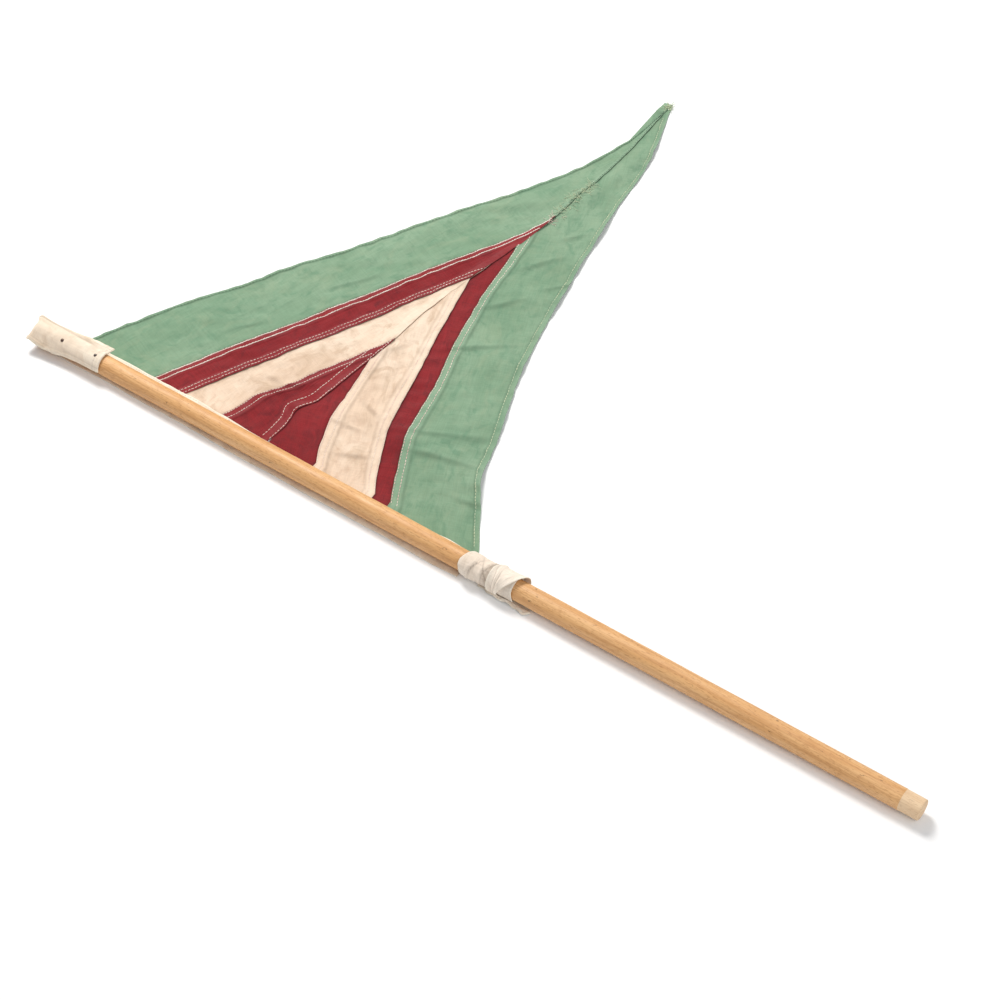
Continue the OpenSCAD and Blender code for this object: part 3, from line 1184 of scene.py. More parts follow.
    def rows(self, panel: Panel, half: Array) -> Array:
        """The t of each row of points on each line of a panel, from under the staff to the centre seam.

        Args:
            panel: The panel.
            half: Half width of each line.

        Returns:
            Rows by lines of t.
        """
        length = math.hypot(panel.outer.half, panel.outer.reach)
        seam = np.array(self.SEAM_STEPS)
        wide = np.maximum(half, seam[0] * 1.03)
        tuck = np.linspace(-1, 0, 6)[:-1]
        main = np.linspace(0, 1, max(24, round(length / self.step)))[:-1]
        last = 1 - seam[0] / wide
        parts = [np.repeat(tuck[:, None], len(half), 1), main[:, None] * last[None, :],
                 1 - seam[:, None] / wide[None, :]]
        if panel.side is Side.BOTTOM:
            beyond = np.array(self.BEYOND_STEPS) / self.BEYOND_STEPS[-1]
            room = np.minimum(self.BEYOND_STEPS[-1], 0.3 * half + 0.1)
            parts.append(1 + beyond[:, None] * room[None, :])
        return np.concatenate(parts)

    def hem_width(self, side: Side) -> float:
        """Width of the hem of one half."""
        return self.hem_top if side is Side.TOP else self.hem

    def near(self, panel: Panel, half: Array, t: Array, from_outer: Array, from_inner: Array) -> Near:
        """How far the points of a panel are from its edges.

        Args:
            panel: The panel.
            half: Half width of each line.
            t: Rows by lines of t.
            from_outer: Distance of each line from the outer edge.
            from_inner: Distance of each line from the inner edge.

        Returns:
            The distances, rows by lines.
        """
        lap, hem, under = (panel.nearest(kind, from_outer, from_inner)[None, :] + 0 * t
                           for kind in (Edge.OVER, Edge.HEM, Edge.UNDER))
        centre = half[None, :] * (1 - t)
        crossed = t > 1.0 + 1e-9
        seam = np.where(crossed, NO_EDGE, centre) if panel.side is Side.TOP else NO_EDGE + 0 * t
        return Near(lap, hem, under, seam, centre, crossed)

    def faces(self, side: Side, near: Near, x: Array, y: Array) -> tuple[Array, Array]:
        """Upper and lower face of a panel: single cloth, thicker where it is folded and raised on laps.

        Args:
            side: Half of the pennant.
            near: Distances from the panel's edges.
            x: Places along the staff.
            y: Places away from the staff.

        Returns:
            Points of the upper and of the lower face.
        """
        inside = smooth(self.hinge_from, self.hinge_to + 6, y)
        raised = (self.cloth + self.lap_rise) * (1 - smooth(self.lap, self.lap + 6, near.lap))
        raised = raised + (self.cloth + self.seam_rise) * (1 - smooth(self.lap, self.lap + 5, near.seam))
        thick = self.cloth * (1 + (near.lap < self.lap) + 1.5 * (near.hem < self.hem_width(side))
                              + 1.0 * (near.seam < self.lap - 0.8))
        raised = np.where(near.crossed, raised * 0.25, raised) * (0.35 + 0.65 * inside)
        thick = np.where(near.crossed, thick * 0.8, thick)
        thick = thick * (0.55 + 0.45 * inside)
        edge = np.minimum(np.minimum(near.lap, near.hem), near.seam)
        rounding = np.maximum(rounded(edge, self.edge_round, 0.0), 0.12)
        pucker = self.pucker * Wander(31, 10).at(x, y) * np.exp(-edge / self.pucker_reach)
        low = self.ground + self.clear + self.lie.lift(x, y) + raised + np.maximum(pucker, -0.05) * inside
        low = low + self.tape_rise * (1 - smooth(20.0, self.hinge_to, y))
        middle = low + thick / 2
        return (np.stack([x, y, middle + thick / 2 * rounding], -1),
                np.stack([x, y, middle - thick / 2 * rounding], -1))

    def grime(self, side: Side, near: Near, x: Array, y: Array) -> Array:
        """Darkening of a panel: painted shade beside the fold edges that lie over it, at the hem's inner step
        and beside creases, a darker top hem edge, and marks along the rows of stitches and the lap's inner
        edge.

        Args:
            side: Half of the pennant.
            near: Distances from the panel's edges.
            x: Places along the staff.
            y: Places away from the staff.

        Returns:
            The darkening at each point, from 0 to 1.
        """
        # Painted shadow of the neighbour's fold edge, on the panel that lies under it.
        grime = np.where(near.under > -2, np.exp(-np.maximum(near.under, 0) / 1.1), 0.0)
        if side is Side.BOTTOM:
            # Painted shadow of the top half's fold edge along the centre line.
            grime = np.maximum(grime, np.exp(-np.maximum(near.centre, 0) / 1.0) * (near.centre > -2) * 0.7)
        else:
            # Darker along the top hem's outer edge.
            grime = np.maximum(grime, self.hem_mark * np.exp(-near.hem / 0.5))
        # Painted shade at the hem's inner step, where the doubled cloth ends.
        grime = np.maximum(grime, self.hem_mark * np.exp(-np.abs(near.hem - self.hem_width(side)) / 0.6))
        # Marks along both rows of stitches, and a darker line where the lap's doubled cloth ends.
        seam_lines = hump(near.lap, 0.9, 0.7) + hump(near.lap, 6.4, 0.7) + hump(near.lap, self.lap, 0.9)
        grime = np.maximum(grime, self.seam_line_mark * seam_lines)
        # Painted shade beside the creases.
        return np.maximum(grime, self.lie.painted_shade(x, y))

    def wear(self, side: Side, near: Near) -> Array:
        """Rubbed paleness of a panel, along its folded edges and over its laps.

        Args:
            side: Half of the pennant.
            near: Distances from the panel's edges.

        Returns:
            The wear at each point, from 0 to 1.
        """
        lap = near.lap_or_seam()
        rubbed = lap if side is Side.TOP else np.minimum(lap, near.hem)
        return np.maximum(np.exp(-rubbed / 1.1),
                          self.lap_paleness * (1 - smooth(self.lap - 1.2, self.lap + 0.6, lap)))

    def build_panel(self, panel: Panel) -> Piece:
        """Builds and dresses one panel.

        Args:
            panel: The panel.

        Returns:
            The piece.
        """
        half, reach, bow, from_outer, from_inner = self.columns(panel)
        t = self.rows(panel, half)
        flat_x, flat_y = self.spot(panel.side, half[None, :], reach[None, :], bow[None, :], t)
        x, y = self.placed(flat_x, flat_y)
        tucked = np.clip(-t, 0, 1)
        x = x + panel.side.value * self.flare * tucked * (half[None, :] / self.LOW_HEM.half) ** 3
        y = y + (self.tucked_to - y) * tucked
        flat_y = flat_y + (self.tucked_to - self.hoist_y) * tucked
        near = self.near(panel, half, t, from_outer, from_inner)
        upper, lower = self.faces(panel.side, near, x, y)
        outline = np.stack([flat_x, flat_y], -1)
        slope = math.atan2(panel.outer.reach, -panel.side.value * panel.outer.half)
        turn = np.array([[math.cos(slope), -math.sin(slope)], [math.sin(slope), math.cos(slope)]])
        piece = shell(panel.name, upper, lower, outline @ turn, wear=self.wear(panel.side, near),
                      grime=self.grime(panel.side, near, x, y))
        piece.data.materials.append(self.finishes.of(panel.finish))
        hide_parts(panel.node)
        self.across_hinge(piece)
        flat_area(outline)
        return piece

    def across_hinge(self, piece: Piece) -> None:
        """Bakes a piece's placement into its mesh.

        Args:
            piece: The piece.
        """
        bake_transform(piece)

    def along(self, side: Side, fold: Fold, inset: float, stop: float) -> Array:
        """Line of stitching beside a fold.

        Args:
            side: Half of the pennant.
            fold: The fold.
            inset: Distance from the fold, positive towards the middle of the hoist.
            stop: Share of the way from the hoist at which the line stops.

        Returns:
            Points in X and Y, about 2 mm apart.
        """
        line = fold.inset(inset)
        t = np.linspace(0, stop, round(math.hypot(fold.half, fold.reach) * stop / 2))
        x, y = self.spot(side, line.half + 0 * t, line.reach + 0 * t, line.bow + 0 * t, t)
        return np.stack(self.placed(x, y), -1)

    def beside_centre(self, inset: float, start: float, stop: float) -> Array:
        """Line of stitching on the top side of the centre seam.

        Args:
            inset: Distance from the seam's fold.
            start: Distance from the hoist at which it starts.
            stop: Distance from the hoist at which it stops.

        Returns:
            Points in X and Y, about 2 mm apart.
        """
        reach = np.linspace(start, stop, round((stop - start) / 2))
        x = self.hoist_mid + self.skew * reach / self.fly - inset
        return np.stack(self.placed(x, self.hoist_y + reach), -1)

    def thread_rows(self) -> list[Row]:
        """Every row of stitching on the pennant, by the thread node that it stands for.

        Returns:
            The rows.
        """
        edge, inner = 0.9, 6.4

        def beside(side: Side, fold: Fold, *runs: tuple[float, float]) -> list[Array]:
            """Lines beside a fold, each by its inset and the share of the way at which it stops."""
            return [self.along(side, fold, inset, stop) for inset, stop in runs]

        top, low = Side.TOP, Side.BOTTOM
        white = (WHITE_THREAD, "white_thread")
        return [
            Row("centre_seam_stitches", "centre_seam_thread",
                [self.beside_centre(1.0, 1, 158), self.beside_centre(8.8, 1, 150)], *white),
            Row("point_seam_stitches", "point_seam_thread",
                [self.beside_centre(1.0, 384, 572)], GREEN_THREAD, "point_thread", radius=0.24),
            Row("centre_top_stitches", "centre_cream_thread_top",
                beside(top, self.TOP_CREAM_CENTRE, (edge, 0.98), (inner, 0.93)),
                *white, pitch=2.7, stitch=2.1, radius=0.34),
            Row("cream_top_stitches", "cream_red_thread_top",
                beside(top, self.TOP_RED_CREAM, (-edge - 1.5, 0.985), (-inner, 1.0)),
                *white, pitch=3.3, stitch=2.3, radius=0.3),
            Row("green_top_stitches", "red_green_thread_top",
                beside(top, self.TOP_GREEN_RED, (edge + 0.3, 0.99), (inner, 0.985)),
                BRIGHT_THREAD, "white_thread", pitch=3.0, stitch=3.3, radius=0.46),
            Row("centre_bottom_stitches", "centre_cream_thread_bottom",
                beside(low, self.LOW_CREAM_CENTRE, (-edge, 1), (-inner, 1)), *white),
            Row("cream_bottom_stitches", "cream_red_thread_bottom",
                beside(low, self.LOW_RED_CREAM, (edge, 0.99), (inner, 0.98)), *white),
            Row("green_bottom_stitches", "red_green_thread_bottom",
                beside(low, self.LOW_GREEN_RED, (-edge, 1), (-inner, 1)), *white, radius=0.34),
            Row("hem_top_stitches", "hem_thread_top",
                beside(top, self.TOP_HEM, (2.8, 0.985)), GREEN_THREAD, "white_thread", radius=0.26),
            Row("hem_bottom_stitches", "hem_thread_bottom",
                beside(low, self.LOW_HEM, (5.0, 0.985)), PALE_THREAD, "white_thread", radius=0.4),
        ]

    def sew(self, number: int, row: Row, surface: BVHTree) -> Piece:
        """Lays one row's stitches on the cloth.

        Args:
            number: Number of the row, which seeds its unevenness.
            row: The row.
            surface: Search tree of the panels.

        Returns:
            The stitches as one piece.
        """
        clear_of_cloth = [0, 0, 0.02]
        lines = [np.array([np.array(hit) / MM + clear_of_cloth for hit in landed(surface, line)])
                 for line in row.lines]
        piece = grown(row.name, line_mesh(row.name, lines), self.stitches.tree, Pitch=row.pitch * MM,
                      Stitch_Length=row.stitch * MM, Thread_Radius=row.radius * MM,
                      Arch=row.radius * 1.7 * MM, Seed=number, Thread=self.finishes.of(row.finish))
        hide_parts(row.node)
        self.across_hinge(piece)
        return piece

    def loose_ends(self, surface: BVHTree) -> list[Piece]:
        """Frayed threads beyond the red point, and the worn tuft at the pennant's own point.

        Args:
            surface: Search tree of the panels.

        Returns:
            The three pieces.
        """
        draw = np.random.default_rng(47)
        made = []
        for name, start, stop, count, spread, length, finish, slot in (
            ("frayed_seam_threads", 384.0, 436.0, 120, 2.6, 0.0065, PALE_THREAD, "point_thread"),
            ("point_tuft", 571.0, 580.0, 60, 1.6, 0.0055, PALE_THREAD, "point_thread"),
            ("red_point_threads", 368.0, 380.0, 22, 2.2, 0.005, WHITE_THREAD, "white_thread"),
        ):
            reach = draw.uniform(start, stop, count)
            x = self.hoist_mid + self.skew * reach / self.fly + draw.normal(0, spread, count)
            x, y = self.placed(x, self.hoist_y + reach)
            mesh = bpy.data.meshes.new(name + "_roots")
            mesh.from_pydata(landed(surface, np.stack([x, y], -1)), [], [])
            piece = grown(name, mesh, self.fray.tree, Fibre_Length=length, Fibre_Radius=0.0002, Curl=0.0035,
                          Tilt=0.25, Seed=len(made) + 3, Fibre=self.finishes.of(finish))
            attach(piece, PENNANT_BODY)
            made.append(piece)
        return made

    def build(self) -> list[Piece]:
        """Builds the whole pennant.

        Returns:
            The panels, the rows of stitches and the loose threads.
        """
        pieces = [self.build_panel(panel) for panel in self.panels()]
        surface = search_tree(pieces)
        pieces += [self.sew(number, row, surface) for number, row in enumerate(self.thread_rows(), 1)]
        return pieces + self.loose_ends(surface)


# ---------- Staff and canvas ----------


@dataclass
class Staff:
    """The turned wooden staff: varnished, with a bare tip at the butt."""

    finishes: Finishes
    length: float = 914.0
    radius: float = 9.5
    bare: float = 18.0
    step: float = 0.25
    rim: float = 1.2
    segments: int = 72
    unevenness: float = 0.006
    most_uneven: float = 0.02

    def build(self) -> list[Piece]:
        """Builds the staff, a hair out of true as a hand-finished one is.

        Returns:
            The staff.
        """
        profile = [(0.0, 0.0), (0.0, self.radius - self.step - self.rim)]
        for degrees in (15, 30, 45, 60, 75, 90):
            turn = math.radians(degrees)
            profile.append((self.rim * (1 - math.cos(turn)),
                            self.radius - self.step - self.rim * (1 - math.sin(turn))))
        profile += [(along, self.radius - self.step) for along in (4.0, 8.0, 12.0, self.bare - 0.35)]
        profile += [(self.bare - 0.05, self.radius - self.step * 0.8), (self.bare + 0.3, self.radius)]
        profile += [(along, self.radius) for along in np.linspace(self.bare + 3, self.length - 3, 200)]
        for degrees in (90, 75, 60, 45, 30, 15, 0):
            turn = math.radians(degrees)
            profile.append((self.length - self.rim * (1 - math.cos(turn)),
                            self.radius - self.rim * (1 - math.sin(turn))))
        profile.append((self.length, 0.0))
        mesh = lathe("wooden_staff", profile, self.segments, Vector((0, 0, 0)), Vector((-1, 0, 0)))
        spots = np.zeros(len(mesh.vertices) * 3)
        mesh.vertices.foreach_get("co", spots)
        spots = spots.reshape(-1, 3) / MM
        angle = np.arctan2(spots[:, 2], spots[:, 1])
        varnished = spots[:, 0] < -self.bare - 2
        uneven = 1 - self.unevenness * (1 + Wander(51, 90).at(spots[:, 0], angle * 9)) * varnished
        uneven = np.where(np.abs(uneven - 1) < self.most_uneven, uneven, 1)
        spots[:, 1:] *= np.minimum(uneven, 1.0)[:, None]
        mesh.vertices.foreach_set("co", (spots * MM).ravel())
        mesh.materials.append(self.finishes.of(VARNISH))
        mesh.materials.append(self.finishes.of(BARE_WOOD))
        for face in mesh.polygons:
            face.material_index = 1 if face.center.x > -(self.bare - 0.2) * MM else 0
        piece = new_object("wooden_staff", mesh)
        fit_to_staff(piece, "staff")
        return [piece]


@dataclass
class Heading:
    """Canvas heading: the doubled tape under the staff, the end tab tacked over its end, and their rows."""

    finishes: Finishes
    stitches: StitchTree
    start: float = -914.0
    stop: float = -440.0
    near_end: float = -8.0
    near_tie: float = -12.4
    far: float = 20.9
    ground: float = -10.5
    crest: float = 10.6
    tab: float = 76.0
    tab_width: float = 33.5
    tab_near: float = 21.5
    tab_near_free: float = 16.0

    def edges(self, along: Array) -> tuple[Array, Array]:
        """Edges of the tape, which lies a little askew under the staff.

        Args:
            along: Places along the staff.

        Returns:
            Y of its near fold and of its far edge.
        """
        share = (along - self.start) / (self.stop - self.start)
        near = self.near_end + (self.near_tie - self.near_end) * share
        near = near + 0.4 * Wander(62, 60).at(along, 0 * along)
        far = self.far - 3.4 * smooth(-770, -640, along) + 0.3 * Wander(61, 46).at(along, 0 * along)
        return near, far

    def build_tape(self) -> Piece:
        """Builds the tape: a strip folded lengthwise, open at its far edge to hold the pennant's hoist.

        Returns:
            The tape.
        """
        along = np.linspace(self.start + 0.8, self.stop, 190)
        near, far = self.edges(along)
        share = np.concatenate([[0, 0.01, 0.03], np.linspace(0.08, 0.97, 16)])
        bend = np.radians(np.linspace(-70, 70, 7))
        bottom, top, half = self.ground + 0.24, self.ground + 0.78, 0.27
        under_y = (far - 0.7)[:, None] + (near - far + 1.1)[:, None] * share[None, :]
        over_y = under_y[:, ::-1] + (0.7 * share[::-1])[None, :]
        round_y = (near + 0.4)[:, None] - half * np.cos(bend)[None, :]
        under_z = bottom + 0 * under_y
        over_z = top + 0.62 * smooth(9.0, 13.0, over_y) + 0.14 * Wander(64, 40).at(along[:, None], over_y) ** 2
        round_z = (bottom + top) / 2 + half * np.sin(bend)[None, :] + 0 * round_y
        y = np.concatenate([under_y, round_y, over_y], 1)
        z = np.concatenate([under_z, round_z, over_z], 1)
        z = z + 0.6 * smooth(-8.5, -11, y) * np.clip(Wander(63, 70).at(along, 0 * along), 0, 1)[:, None]
        grid = np.stack([along[:, None] + 0 * y, y, z], -1)
        normal = normals_of(grid)
        upper, lower = grid + normal * 0.19, grid - normal * 0.19
        across = np.concatenate([[0], np.cumsum(np.hypot(np.diff(y[0]), np.diff(z[0])))])
        cloth = np.stack([grid[..., 0], across[None, :] + 0 * y], -1)
        wear = np.exp(-np.minimum(across, across[-1] - across) / 1.2)[None, :] + 0 * y
        piece = shell("heading_band", upper, lower, cloth, wear=wear, grime=0 * y)
        self.dress(piece, "heading_tape")
        return piece

    def build_tab(self) -> Piece:
        """Builds the tab: up over the staff's end, back along its top and hemmed at the free end.

        Returns:
            The tab.
        """
        end = self.start
        path = [(end + 0.6, -10.0), (end - 1.4, -9.4), (end - 2.2, -7.0), (end - 2.4, -3.0), (end - 2.4, 1.5),
                (end - 2.2, 6.0), (end - 1.6, 9.6), (end + 0.3, 10.7), (end + 3.5, 10.6)]
        path += [(end + s, self.crest) for s in np.linspace(7, self.tab, 30)]
        line = np.array(path)
        travelled = np.concatenate([[0], np.cumsum(np.linalg.norm(np.diff(line, axis=0), axis=1))])
        fine = np.linspace(0, travelled[-1], 150)
        x0, z0 = np.interp(fine, travelled, line[:, 0]), np.interp(fine, travelled, line[:, 1])
        risen = smooth(-9.5, 9.5, z0)[:, None]
        back = smooth(end, end + self.tab, x0)[:, None]
        u = np.concatenate([[0, 0.01, 0.025], np.linspace(0.045, 0.955, 41), [0.975, 0.99, 1]])[None, :]
        near = self.tab_near + (self.tab_near_free - self.tab_near) * back
        near = near + 0.4 * Wander(71, 40).at(x0, 0 * x0)[:, None]
        far = self.tab_width - near
        arc = near + (-near - far) * u
        hug = self.crest - 0.2
        near_from = np.radians(48 + 32 * back) * hug
        far_from = np.radians(44 - 22 * back) * hug
        bent = np.clip(arc, -far_from, near_from)
        straight = arc - bent
        angle = bent / hug
        saddle_y = -(hug * np.sin(angle) + straight * np.cos(angle))
        saddle_z = hug * np.cos(angle) - straight * np.sin(angle) + 0.2
        flat_y = self.far - 0.5 - (self.far - 0.5 + 8.8) * (1 - u)[:, ::-1] + 0 * saddle_y
        y = flat_y + (saddle_y - flat_y) * risen
        stiff = 1 - 0.35 * (1 - smooth(end - 2, end + 9, x0))[:, None]
        z = z0[:, None] + (saddle_z - self.crest) * risen**3 * stiff
        ripple = (0.22 * Wander(72, 19).at(fine[:, None], arc)
                  + 0.5 * (np.abs(straight) / 12) * Wander(73, 24).at(fine[:, None], arc))
        pinch = 0.75 * hump(arc, -5.0 + 1.5 * back, 1.7) - 0.5 * hump(arc, -8.6 + 1.5 * back, 2.0)
        z = z + (np.abs(ripple) + pinch) * risen**3
        slant = 1.3 * (arc / 17) * back
        near_end = ((1 - smooth(end, end + 16, x0)) * smooth(0.0, 9.5, z0))[:, None]
        corner = -(1.4 * smooth(9, 20, np.abs(arc)) + 5.4 * smooth(-1, 10, -arc)) * near_end
        bulge = 0.8 * (1 - np.abs(arc) / 24) * hump(z0, 2.0, 7.0)[:, None] * (x0 < end + 3)[:, None]
        x = x0[:, None] + slant + corner - bulge
        grid = np.stack([x, y, z], -1)
        normal = normals_of(grid)
        if normal[110, 22, 2] < 0:
            normal = -normal
        from_end = (fine[-1] - fine)[:, None] + 0 * y
        sides = self.tab_width * np.minimum(u, 1 - u) + 0 * y
        doubled = (from_end < 6.5) | ((sides < 4.5) & (risen > 0.9))
        thick = np.where(doubled, 1.5, 0.9)
        near_edge = np.minimum(from_end, sides)
        rounding = rounded(near_edge, 0.6)
        upper = grid + normal * (0.2 + (thick - 0.2) * rounding)[..., None]
        lower = grid + normal * (0.2 - 0.16 * rounding)[..., None]
        cloth = np.stack([fine[:, None] + 0 * y, arc + 0 * y], -1)
        # Painted shade on the tab's far slope, beyond its ridge.
        far_slope_shade = hump(arc, -9.0, 2.6) * risen * (1 - 0.6 * smooth(end + 50, end + 72, x0))[:, None]
        # Painted shade along the steps where the doubled hem and side folds end.
        step = np.exp(-np.abs(from_end - 6.6) / 0.5) + np.exp(-np.abs(sides - 4.6) / 0.4) * (risen > 0.9)
        grime = np.maximum(0.5 * far_slope_shade, 0.3 * np.minimum(step, 1))
        piece = shell("end_tab_canvas", upper, lower, cloth, wear=np.exp(-near_edge / 1.3), grime=grime)
        self.dress(piece, "end_tab")
        return piece

    def dress(self, piece: Piece, node: str) -> None:
        """Gives a canvas piece its finish, node and body."""
        piece.data.materials.append(self.finishes.of(CANVAS))
        fit_to_staff(piece, node)

    def sew(self, name: str, node: str, lines: list[Array], under: Piece, seed: int) -> Piece:
        """Lays stitches on a canvas piece.

        Args:
            name: Name of the stitches.
            node: Thread node that they stand for.
            lines: Points in X and Y.
            under: The canvas that they lie on.
            seed: Seed of their unevenness.

        Returns:
            The stitches.
        """
        surface = search_tree([under])
        laid = [np.array([np.array(hit) / MM for hit in landed(surface, line)]) for line in lines]
        piece = grown(name, line_mesh(name, laid), self.stitches.tree, Pitch=0.003, Stitch_Length=0.0022,
                      Thread_Radius=0.00026, Arch=0.0004, Seed=seed, Thread=self.finishes.of(WHITE_THREAD))
        fit_to_staff(piece, node)
        return piece

    def build(self) -> list[Piece]:
        """Builds the tape, the tab and their stitching.

        Returns:
            The four pieces.
        """
        tape = self.build_tape()
        tab = self.build_tab()
        far = np.linspace(self.start + 84, self.stop - 4, 220)
        heading_row = np.stack([far, self.edges(far)[1] - 2.4], -1)
        end = self.start + self.tab
        across = np.linspace(-9, 12, 16)
        hem_row = np.stack([end - 5.4 + 2.6 * across / 14, across], -1)
        return [
            tape, tab,
            self.sew("heading_stitches", "heading_thread", [heading_row], tape, 81),
            self.sew("tab_stitches", "tab_thread", [hem_row], tab, 82),
        ]


@dataclass
class Tacks:
    """Two round-headed tacks that hold the tab to the staff."""

    finishes: Finishes
    places: tuple[float, float] = (-883.0, -845.5)
    seat: float = 11.35
    leans: tuple[float, float] = (26.0, 14.0)
    head: float = 3.4
    rise: float = 1.0
    shank: float = 1.4
    depth: float = 8.0

    def build(self) -> list[Piece]:
        """Builds both tacks as one piece, each driven in at its own slight lean.

        Returns:
            The tacks.
        """
        profile = [(-self.depth, 0.0), (-self.depth + 2, self.shank / 2), (-0.15, self.shank / 2)]
        profile += [(-0.12, self.head / 2 - 0.25), (0.02, self.head / 2)]
        for degrees in (15, 35, 55, 72):
            turn = math.radians(degrees)
            profile.append((self.rise * math.sin(turn), self.head / 2 * math.cos(turn)))
        profile.append((self.rise, 0.0))
        pieces = []
        for tilt, x, lean in zip((0.05, -0.04), self.places, self.leans):
            turn = math.radians(lean)
            out = Vector((0, -math.sin(turn), math.cos(turn)))
            axis = (out + Vector((tilt, 0, 0))).normalized()
            mesh = lathe("tack", profile, 24, Vector((x, 0, 0)) + out * self.seat, axis)
            mesh.materials.append(self.finishes.of(OldSteel("tack_steel")))
            pieces.append(new_object("tack", mesh))
        first, second = pieces
        with bpy.context.temp_override(active_object=first, selected_editable_objects=pieces):
            bpy.ops.object.join()
        first.name = "tack_heads"
        fit_to_staff(first, "tacks")
        return [first]


@dataclass
class Tie:
    """Strip of canvas wound twice round the staff below the pennant, with its loose tail."""

    finishes: Finishes
    left: float = -437.0
    right: float = -386.0
    crease: float = -411.0
    inner_radius: float = 9.75
    thick: float = 0.9
    ground: float = -10.5
    # Painted shade of the turn being built: dark lines in its folds, and on the inner turn the outer turn's
    # shadow.
    painted_shade: Array | float = 0.0

    def turn(self, name: str, node: str, left: Array, right: Array, radius: Array, angle: Array,
             length: float, width: float) -> Piece:
        """One turn of canvas.

        Args:
            name: Name of the piece.
            node: Node that it stands for.
            left: X of its left edge at each angle.
            right: X of its right edge at each angle.
            radius: Angles by places across of its inner radius.
            angle: Angles round the staff, 0 on top and positive towards the near side.
            length: Flat length of the turn. Not used.
            width: Flat width of the strip. Not used.

        Returns:
            The turn.
        """
        middle = np.linspace(0.07, 0.93, radius.shape[1] - 6)
        across = np.concatenate([[0, 0.01, 0.03], middle, [0.97, 0.99, 1]])
        x = left[:, None] + (right - left)[:, None] * across[None, :]
        y, z = -radius * np.sin(angle)[:, None], radius * np.cos(angle)[:, None]
        z = np.maximum(z, self.ground + 0.05)
        grid = np.stack([x, y, z], -1)
        outward = np.stack([0 * x, -np.sin(angle)[:, None] + 0 * x, np.cos(angle)[:, None] + 0 * x], -1)
        edge = np.minimum(across, 1 - across)[None, :] * np.abs(right - left)[:, None]
        rounding = rounded(edge, 0.7)[..., None]
        upper = grid + outward * self.thick * (0.5 + 0.5 * rounding)
        lower = grid + outward * self.thick * (0.5 - 0.5 * rounding)
        for face in (upper, lower):
            face[..., 2] = np.maximum(face[..., 2], self.ground + 0.03)
        cloth = np.stack([np.degrees(angle)[:, None] * 0.19 + 0 * x, x], -1)
        piece = shell(name, upper, lower, cloth, wear=np.exp(-edge / 1.4), grime=self.painted_shade + 0 * x)
        piece.data.materials.append(self.finishes.of(TIE_CANVAS))
        fit_to_staff(piece, node)
        return piece

    def build_inner(self) -> Piece:
        """Builds the inner turn, with its bulging left edge and its pinched folds.

        Returns:
            The inner turn.
        """
        angle = np.radians(np.linspace(-178, 178, 150))
        place = np.linspace(0, 1, 56)[None, :]
        turn = angle[:, None]
        left = self.left - 3.4 * hump(angle, 0.75, 0.75) + 1.2 * hump(angle, -0.9, 0.5)
        right = self.right + 2.2 * hump(angle, 1.9, 0.7)
        fold_a = 0.30 + 0.16 * turn
        fold_b = 0.44 - 0.05 * turn
        fold_c = 0.25 - 0.08 * turn
        roll = np.sqrt(np.clip(1 - (place / 0.13 - 1) ** 2, 0, 1))
        radius = (self.inner_radius + 0.25
                  + 1.9 * roll * (0.3 + 0.7 * hump(turn, 0.8, 1.0))
                  + 1.5 * np.exp(-np.abs(place - fold_a) / 0.035) * hump(turn, 0.7, 1.1)
                  + 1.5 * np.exp(-np.abs(place - fold_b) / 0.03) * hump(turn, 0.5, 1.2)
                  + 0.9 * np.exp(-np.abs(place - fold_c) / 0.02) * hump(turn, 1.0, 0.9)
                  + 0.2 * np.abs(Wander(91, 0.5).at(place * 3, turn)))
        pressed = sum(np.exp(-(((place - fold - 0.05) / 0.012) ** 2)) for fold in (fold_a, fold_b, fold_c))
        # Painted shade: dark lines in the pinched folds, a band along the outer turn's edge where its shadow
        # falls, and the right part of the turn darker.
        self.painted_shade = (np.minimum(0.9 * pressed, 0.9) * hump(turn, 0.7, 1.2) + 0.7 * hump(place, 0.52, 0.05)
                     + 0.3 * smooth(0.72, 0.8, place) * (1 - smooth(0.96, 1.0, place)))
        return self.turn("tie_inner_turn", "tie_turn_inner", left, right, radius, angle, 64,
                         self.right - self.left)

    def build_outer(self) -> Piece:
        """Builds the outer turn, whose free edge leans across the staff and stands off it.

        Returns:
            The outer turn.
        """
        angle = np.radians(np.linspace(-122, 132, 120))
        place = np.linspace(0, 1, 50)[None, :]
        turn = angle[:, None]
        left = self.crease + 1.5 + 5.5 * smooth(0.1, -1.1, angle) + 1.2 * smooth(1.2, 2.2, angle)
        right = -379.5 - 20.0 * smooth(-1.0, 2.1, angle)
        lean = 0.22 + 0.22 * turn
        radius = (self.inner_radius + 1.9
                  + 1.5 * np.exp(-((place / 0.09) ** 2)) * (0.5 + 0.5 * hump(turn, 0.3, 1.2))
                  + 1.3 * np.exp(-np.abs(place - lean) / 0.05) * hump(turn, 0.6, 1.1)
                  + 1.1 * np.exp(-np.abs(place - lean - 0.2) / 0.06) * hump(turn, 0.9, 1.0)
                  + 0.7 * hump(place, 0.70, 0.08) * hump(turn, -0.1, 0.9)
                  + 1.8 * smooth(0.70, 1.0, place) * hump(turn, -0.3, 1.0)
                  + 0.14 * np.abs(Wander(92, 0.6).at(place * 3, turn)))
        pressed = np.exp(-(((place - lean + 0.09) / 0.02) ** 2))
        pressed = pressed + np.exp(-(((place - lean - 0.1) / 0.025) ** 2))
        # Painted shade in the pressed folds of the outer turn.
        self.painted_shade = 0.75 * pressed * hump(turn, 0.6, 1.1)
        return self.turn("tie_outer_turn", "tie_turn_outer", left, right, radius, angle, 50, 34)

